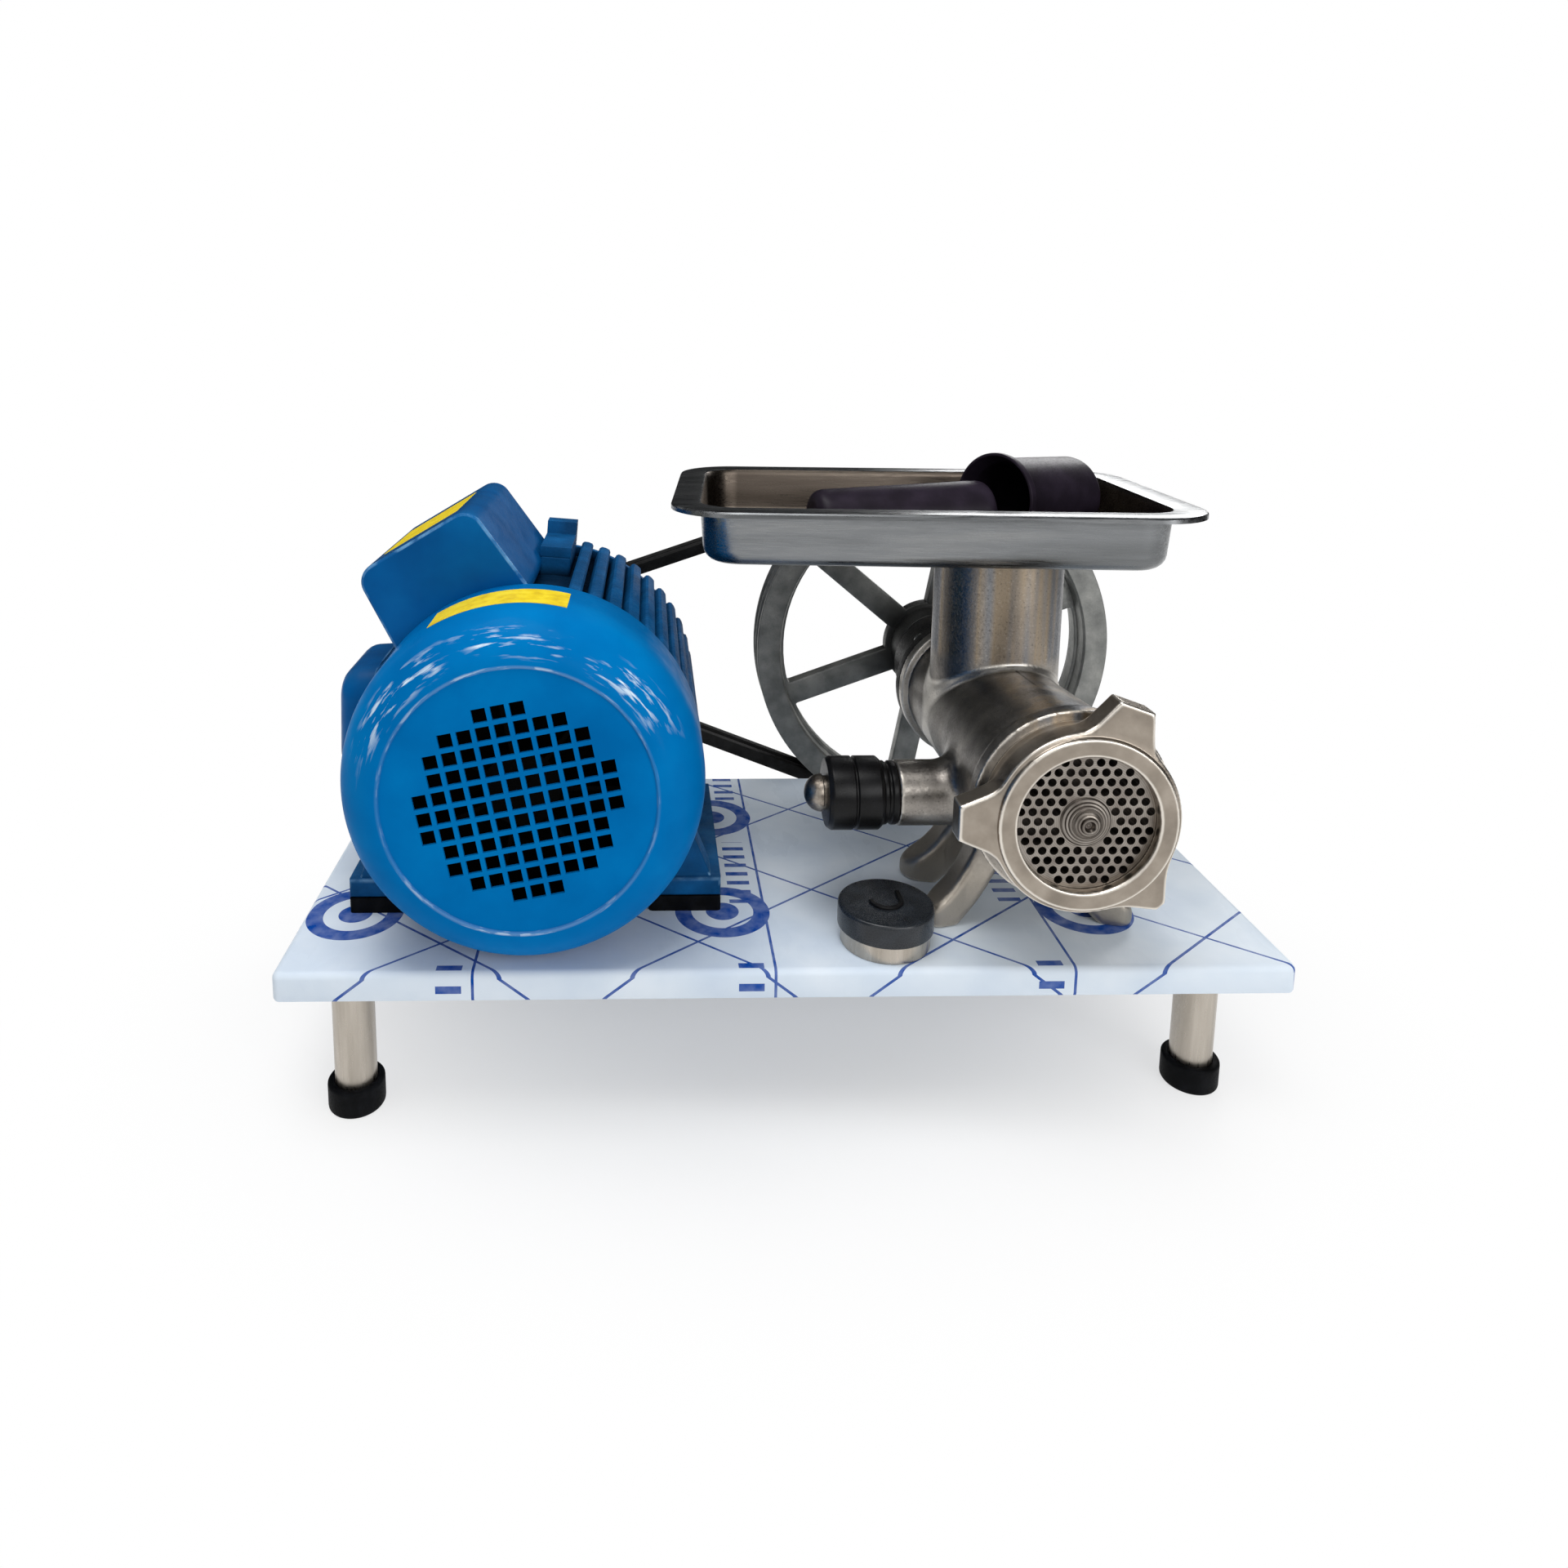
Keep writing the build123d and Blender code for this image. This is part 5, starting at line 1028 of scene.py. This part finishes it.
clampPlace = (0, clampY, clampZ)
clampCollar = {"body": "clamp", "nodes": ["clamp_collar"], "slot": "black_plastic",
               "material": "mouldedBlack",
               "profile": [(6.05, 61.7), (19.5, 61.7), (19.5, 64.4), (18.5, 65.2), (18.5, 66.6),
                           (19.5, 67.4), (19.5, 70.9), (6.05, 70.9)]}
addPiece("clampCollar", [turnedRing(clampCollar["profile"], 1.0, "x", clampPlace, 80)], clampCollar)
clampKnob = {"body": "clamp", "nodes": ["clamp_knob"], "slot": "black_plastic", "material": "mouldedBlack",
             "profile": [(6.05, 27.7), (20.5, 27.7, 1.0), (22.5, 30.5, 2.0), (22.5, 43.5), (21.3, 44.2),
                         (21.3, 45.2), (22.5, 45.9), (22.5, 59.5, 1.5), (20.5, 61.7), (6.05, 61.7)]}
addPiece("clampKnob", [turnedRing(clampKnob["profile"], 0.5, "x", clampPlace)], clampKnob)
clampCap = {"body": "clamp", "nodes": ["clamp_cap"], "slot": "polished_cap", "material": "wornSteel",
            "radius": 11.5, "neck": 10.4, "low": 14.7, "high": 27.7, "crown": 10.0}
radius, neck, low, high, crown = pick(clampCap, "radius", "neck", "low", "high", "crown")
capArc = [(radius * math.sin(t), low + crown * (1 - math.cos(t))) for t in np.linspace(0, math.pi / 2, 14)]
capArc += [(radius, high - 2.1), (neck, high - 1.5), (neck, high), (0, high)]
addPiece("clampCap", [lathe(capArc, "x", clampPlace, 64)], clampCap)

# Feed tray, pusher and sleeve

feedTray = {"body": "tray", "nodes": ["feed_tray", "tray_collar"], "slot": "stainless",
            "material": "brushedSheet", "inside": "usedSheet", "centre": (99.2, 11.6),
            "turn": math.radians(-4.2), "pan": (290.0, 182.0), "top": 261.6, "floor": 225.5, "sheet": 1.5,
            "collar": (36.7, 38.2), "collarLow": 198.0, "draft": 4.0, "bends": (8.0, 9.0)}
trayTop, trayFloor, collarLow = pick(feedTray, "top", "floor", "collarLow")
sheet, (inner, outer), (innerBend, outerBend) = pick(feedTray, "sheet", "collar", "bends")
cosTurn, sinTurn = math.cos(feedTray["turn"]), math.sin(feedTray["turn"])
fromCentre = np.subtract((grinderX, neckY), feedTray["centre"])
throat = np.array([[cosTurn, sinTurn], [-sinTurn, cosTurn]]) @ fromCentre


def panLoop(inset, z, corner):
    return rectLoop(feedTray["pan"][0] - 2 * inset, feedTray["pan"][1] - 2 * inset, corner, z, 10)


def throatLoop(radius, z):
    # Circle whose points face those of the floor's edge, so the floor stays flat.
    heading = panLoop(11, 0, 17)[:, :2] - throat
    heading /= np.linalg.norm(heading, axis=1)[:, None]
    return np.column_stack([throat + radius * heading, np.full(len(heading), z)])


def draft(below):
    return below * math.tan(math.radians(feedTray["draft"]))


def panBend(bend, wall, floor, corner):
    # Rounded turn between the pan's floor and its leaning wall, from the floor up.
    loops = []
    for t in np.linspace(0, math.pi / 2, 6):
        z = floor + bend * (1 - math.cos(t))
        inset = wall + draft(trayTop - z) + bend * (1 - math.sin(t))
        loops.append(panLoop(inset, z, corner - inset))
    return loops


trayLoops = [throatLoop(inner, collarLow), throatLoop(inner, trayFloor - 2),
             throatLoop(inner + 0.6, trayFloor - 0.5), throatLoop(inner + 1.8, trayFloor)]
trayLoops += panBend(innerBend, sheet, trayFloor, 25)
# Up the inside, over the rolled rim and down the outside: inset, depth below the top, corner.
rimSteps = ((sheet + draft(4.6), 4.6, 23.5), (1.2, 2.0, 24.0), (0.4, 0.6, 24.6), (-1.2, 0.0, 26.2),
            (-15.8, 0.0, 37.8), (-17.3, 0.4, 39.3), (-18.0, 1.4, 40.0), (-18.0, 3.8, 40.0),
            (-16.6, 3.9, 38.6), (-16.4, 1.6, 38.4), (0.0, 1.5, 24.0), (draft(5.6), 5.6, 25.0))
trayLoops += [panLoop(inset, trayTop - below, corner) for inset, below, corner in rimSteps]
trayLoops += panBend(outerBend, 0.0, trayFloor - sheet, 26)[::-1]
trayLoops += [throatLoop(outer + 1.2, trayFloor - 1.5), throatLoop(outer, trayFloor - 2.3),
              throatLoop(outer, collarLow)]
trayMesh = loft(trayLoops, closed=True)
trayMesh.transform(moved(*feedTray["centre"], 0) @ Matrix.Rotation(feedTray["turn"], 4, "Z"))
trayItem = addPiece("feedTray", [trayMesh], feedTray)
trayItem.data.materials.append(materials[feedTray["inside"]])
trayMiddle = np.array(home) + np.array([*feedTray["centre"], trayTop]) / 1000
for face in trayItem.data.polygons:
    inward = np.dot(trayMiddle - np.array(face.center), face.normal)
    face.material_index = int(inward > 0 and face.center.z < trayMiddle[2] - 0.001)


def lieInTray(mesh, info, tilt, height):
    # Lays a piece turned about Y on the tray's floor, its origin at its place and height.
    heading = Matrix.Rotation(math.radians(info["turn"] - 90), 4, "Z")
    mesh.transform(moved(*info["place"], trayFloor + height) @ heading @ Matrix.Rotation(tilt, 4, "X"))
    return mesh


clearance = 0.3
pusher = {"body": "pusher", "nodes": ["pusher"], "slot": "pusher_plastic", "material": "pusherPlastic",
          "place": (140.2, -15.0), "turn": 9.1, "length": 119.5, "radii": (22.5, 20.5), "edge": 9.0}
length, edge, (thick, thin) = pick(pusher, "length", "edge", "radii")
tilt = math.atan((thick - thin) / length)
rodProfile = [(0, -length), (thin, -length, edge), (thick, 0, edge), (0, 0)]
rod = lathe(soften(rodProfile, 0.0, 10), "y", (0, 0, 0), 112)
addPiece("pusher", [lieInTray(rod, pusher, tilt, clearance + thick * math.cos(tilt))], pusher)
stuffingSleeve = {"body": "sleeve", "nodes": ["stuffing_sleeve"], "slot": "pusher_plastic",
                  "material": "pusherPlastic", "place": (146.3, -9.2), "turn": 33.0, "length": 80.0,
                  "radius": 27.5, "wall": 3.0, "floor": 8.0, "flange": (31.0, 5.0), "flare": (1.8, 9.0)}
length, radius, (flange, thick), (lip, flare) = pick(stuffingSleeve, "length", "radius", "flange", "flare")
bore, bottom = radius - stuffingSleeve["wall"], length - stuffingSleeve["floor"]
tilt = math.atan((flange - radius) / (length - thick))
sleeveProfile = [(0, bottom), (bore, bottom, 3.0), (bore, flare, 2.0), (flange - lip, 0, 0.6),
                 (flange, 0, 0.8), (flange, thick, 1.2), (radius, thick, 1.5), (radius, length, 4.0),
                 (0, length)]
sleeve = lathe(soften(sleeveProfile, 0.0, 6), "y", (0, 0, 0), 112)
lift = clearance + flange * math.cos(tilt) + thick * math.sin(tilt)
addPiece("stuffingSleeve", [lieInTray(sleeve, stuffingSleeve, -tilt, lift)], stuffingSleeve)
print("tray and loose pieces built")

# Switch

switchPlace = (62.0, -106.0, 0)
switchBase = {"body": "stand", "nodes": ["switch_base"], "slot": "stainless", "material": "drawnTube",
              "radius": 27.0, "bore": 4.05, "top": 10.4}
radius, bore, top = pick(switchBase, "radius", "bore", "top")
baseProfile = [(bore, 0), (radius, 0), (radius, top), (bore, top)]
addPiece("switchBase", [turnedRing(baseProfile, 0.8, "z", switchPlace)], switchBase)
switchKnob = {"body": "switch", "nodes": ["switch_knob"], "slot": "black_plastic",
              "material": "switchPlastic", "low": 10.7, "top": 25.1, "radius": 29.0, "bore": 4.05,
              "socket": 7.2}
low, top, radius, bore = pick(switchKnob, "low", "top", "radius", "bore")
socket = low + switchKnob["socket"]
knobProfile = [(0, top), (radius, top, 2.6), (radius, low, 0.8), (bore, low), (bore, socket), (0, socket)]
addPiece("switchKnob", [lathe(soften(knobProfile, 0.5, 6), "z", switchPlace, 112)], switchKnob)
switchMark = {"body": "switch", "slot": "black_plastic", "material": "mouldedBlack", "hook": 9.0,
              "tail": 10.5, "half": 1.5,
              "section": ((-1, -0.2), (-1, 1.1), (-0.7, 1.6), (0.7, 1.6), (1, 1.1), (1, -0.2))}
hook = switchMark["hook"]
markPath = np.array([(hook * math.cos(a), hook * math.sin(a)) for a in np.linspace(math.pi, 2 * math.pi, 15)]
                    + [(hook, switchMark["tail"])])
markLoops = []
for index, (x, y) in enumerate(markPath):
    way = markPath[min(index + 1, len(markPath) - 1)] - markPath[max(index - 1, 0)]
    side = np.array([-way[1], way[0]]) / np.linalg.norm(way) * switchMark["half"]
    markLoops.append(np.array([(switchPlace[0] + x + s * side[0], switchPlace[1] + y + s * side[1], top + z)
                               for s, z in switchMark["section"]]))
addPiece("switchMark", [loft(markLoops, capped=True)], switchMark)
print("switch built")

# Finishes of the CAD pieces that stay as they are.
cadFinishes = {
    "footRubber": ["motor_pads"],
    "zincPlate": ["motor_fasteners", "grinder_bolts", "housing_bolts", "pulley_bolt", "clamp_screw"],
    "castingPaint": ["front_end_shield", "rear_end_shield"],
    "mouldedBlack": ["cable_gland", "terminal_board", "switch_block"],
    "fanPlastic": ["cooling_fan"],
    "shaftSteel": ["motor_shaft", "motor_bearings", "motor_key", "drive_key", "drive_bearings",
                   "bearing_spacer", "auger", "knife", "die_pin", "switch_spindle"],
    "coreIron": ["rotor_core", "stator_core"],
    "copperWinding": ["stator_windings"],
    "canAluminium": ["run_capacitor", "start_capacitor"],
    "bronzeFace": ["thrust_washer"],
}
for finish, names in cadFinishes.items():
    for name in names:
        cadNodes[name].data.materials.clear()
        cadNodes[name].data.materials.append(materials[finish])


# Floor, light and camera

def seenRays(add):
    # One for rays from the camera or a mirror-like surface, which see the bright surroundings.
    path = add("LightPath").outputs
    mirrored = add("MAXIMUM", path["Is Glossy Ray"], path["Is Transmission Ray"])
    return add("MAXIMUM", path["Is Camera Ray"], mirrored)


def floorMaterial():
    # Pale floor that fades to plain white away from the object.
    material, add, coords = startMaterial("paleFloor")
    part = add("SeparateXYZ", coords).outputs
    away = span(add, add("DIVIDE", part[0], 0.62), add("DIVIDE", part[1], 0.4))
    fade = add("MapRange", away, 0.1, 0.85, 0.3, 1.0, interpolation_type="SMOOTHERSTEP")
    paint = add("BsdfDiffuse", hexColor("#f2f2f2"))
    glow = add("Emission", hexColor("#ffffff"), 1.0)
    add("OutputMaterial", add("MixShader", add("MULTIPLY", fade, seenRays(add)), paint, glow))
    return material


floorMesh = bpy.data.meshes.new("floor")
floorMesh.from_pydata([(-6, -6, 0), (6, -6, 0), (6, 6, 0), (-6, 6, 0)], [], [(0, 1, 2, 3)])
floorMesh.materials.append(floorMaterial())
addItem("floor", floorMesh)

world = bpy.data.worlds.new("studio")
scene.world = world
world.use_nodes = True
world.node_tree.nodes.clear()
add = partial(addNode, world.node_tree)
level = add("MapRange", seenRays(add), 0.0, 1.0, 0.45, 1.0)
add("OutputWorld", add("Background", hexColor("#ffffff"), level))


def addLamp(name, place, aim, size, power):
    lamp = bpy.data.lights.new(name, "AREA")
    lamp.shape = "RECTANGLE"
    lamp.size, lamp.size_y = size
    lamp.energy = power
    item = addItem(name, lamp)
    ahead = np.array(aim, float) - np.array(place, float)
    ahead /= np.linalg.norm(ahead)
    right = np.cross(ahead, (0, 0, 1))
    right /= np.linalg.norm(right)
    up = np.cross(right, ahead)
    item.matrix_world = Matrix([[right[i], up[i], -ahead[i], place[i]] for i in range(3)] + [[0, 0, 0, 1]])


addLamp("overheadSoftbox", (-0.3, -0.25, 1.7), (0, 0, 0.2), (1.3, 0.7), 16.0)
addLamp("frontFill", (0.7, -1.9, 1.1), (0.05, 0, 0.2), (1.0, 0.8), 9.0)
addLamp("backRim", (0.9, 1.4, 1.0), (0.1, 0, 0.25), (0.8, 0.5), 8.0)
addLamp("sideStrip", (1.15, -1.25, 0.6), (0.15, 0, 0.25), (0.22, 1.1), 4.0)


def addFlag(name, tone, low, high):
    # Dark card between two corners, seen only in reflections, for contrast in bare metal.
    material, add, _ = startMaterial(name)
    add("OutputMaterial", add("BsdfPrincipled", {"Base Color": hexColor(tone), "Roughness": 0.9}))
    across = 1 if low[0] == high[0] else 0
    second, last = list(low), list(high)
    second[across], last[across] = high[across], low[across]
    mesh = bpy.data.meshes.new(name)
    mesh.from_pydata([low, second, high, last], [], [(0, 1, 2, 3)])
    mesh.materials.append(material)
    item = addItem(name, mesh)
    item.visible_camera = False
    item.visible_diffuse = False
    item.visible_shadow = False


addFlag("leftFlag", "#1c1d1f", (-1.5, -1.6, 0.0), (-1.5, 0.9, 1.3))
addFlag("rightFlag", "#1c1d1f", (1.5, -1.6, 0.0), (1.5, 0.9, 1.3))
addFlag("frontFlag", "#1c1d1f", (-1.2, -2.4, 0.0), (1.2, -2.4, 0.55))
addFlag("ceilingFlag", "#5a5b5e", (-2.5, -1.6, 1.9), (2.5, 2.2, 1.9))
addFlag("backFlag", "#1c1d1f", (-2.5, 2.2, 0.0), (2.5, 2.2, 1.9))

yaw, pitch, roll = 0.022911, 0.154430, -0.005028
ahead = np.array([math.sin(yaw) * math.cos(pitch), math.cos(yaw) * math.cos(pitch), -math.sin(pitch)])
right = np.array([math.cos(yaw), -math.sin(yaw), 0.0])
down = np.cross(ahead, right)
right, down = right * math.cos(roll) + down * math.sin(roll), down * math.cos(roll) - right * math.sin(roll)
place = np.array(home) + (-0.082612, -0.716966, 0.368565)
lens = bpy.data.cameras.new("camera")
lens.sensor_width = 36.0
lens.lens = 24.939
lens.shift_x = 0.07078
lens.shift_y = -0.18304
lens.clip_start = 0.01
camera = addItem("camera", lens)
camera.matrix_world = Matrix([[right[i], -down[i], -ahead[i], place[i]] for i in range(3)] + [[0, 0, 0, 1]])
scene.camera = camera
scene.view_settings.view_transform = "Standard"

print("scene ready")
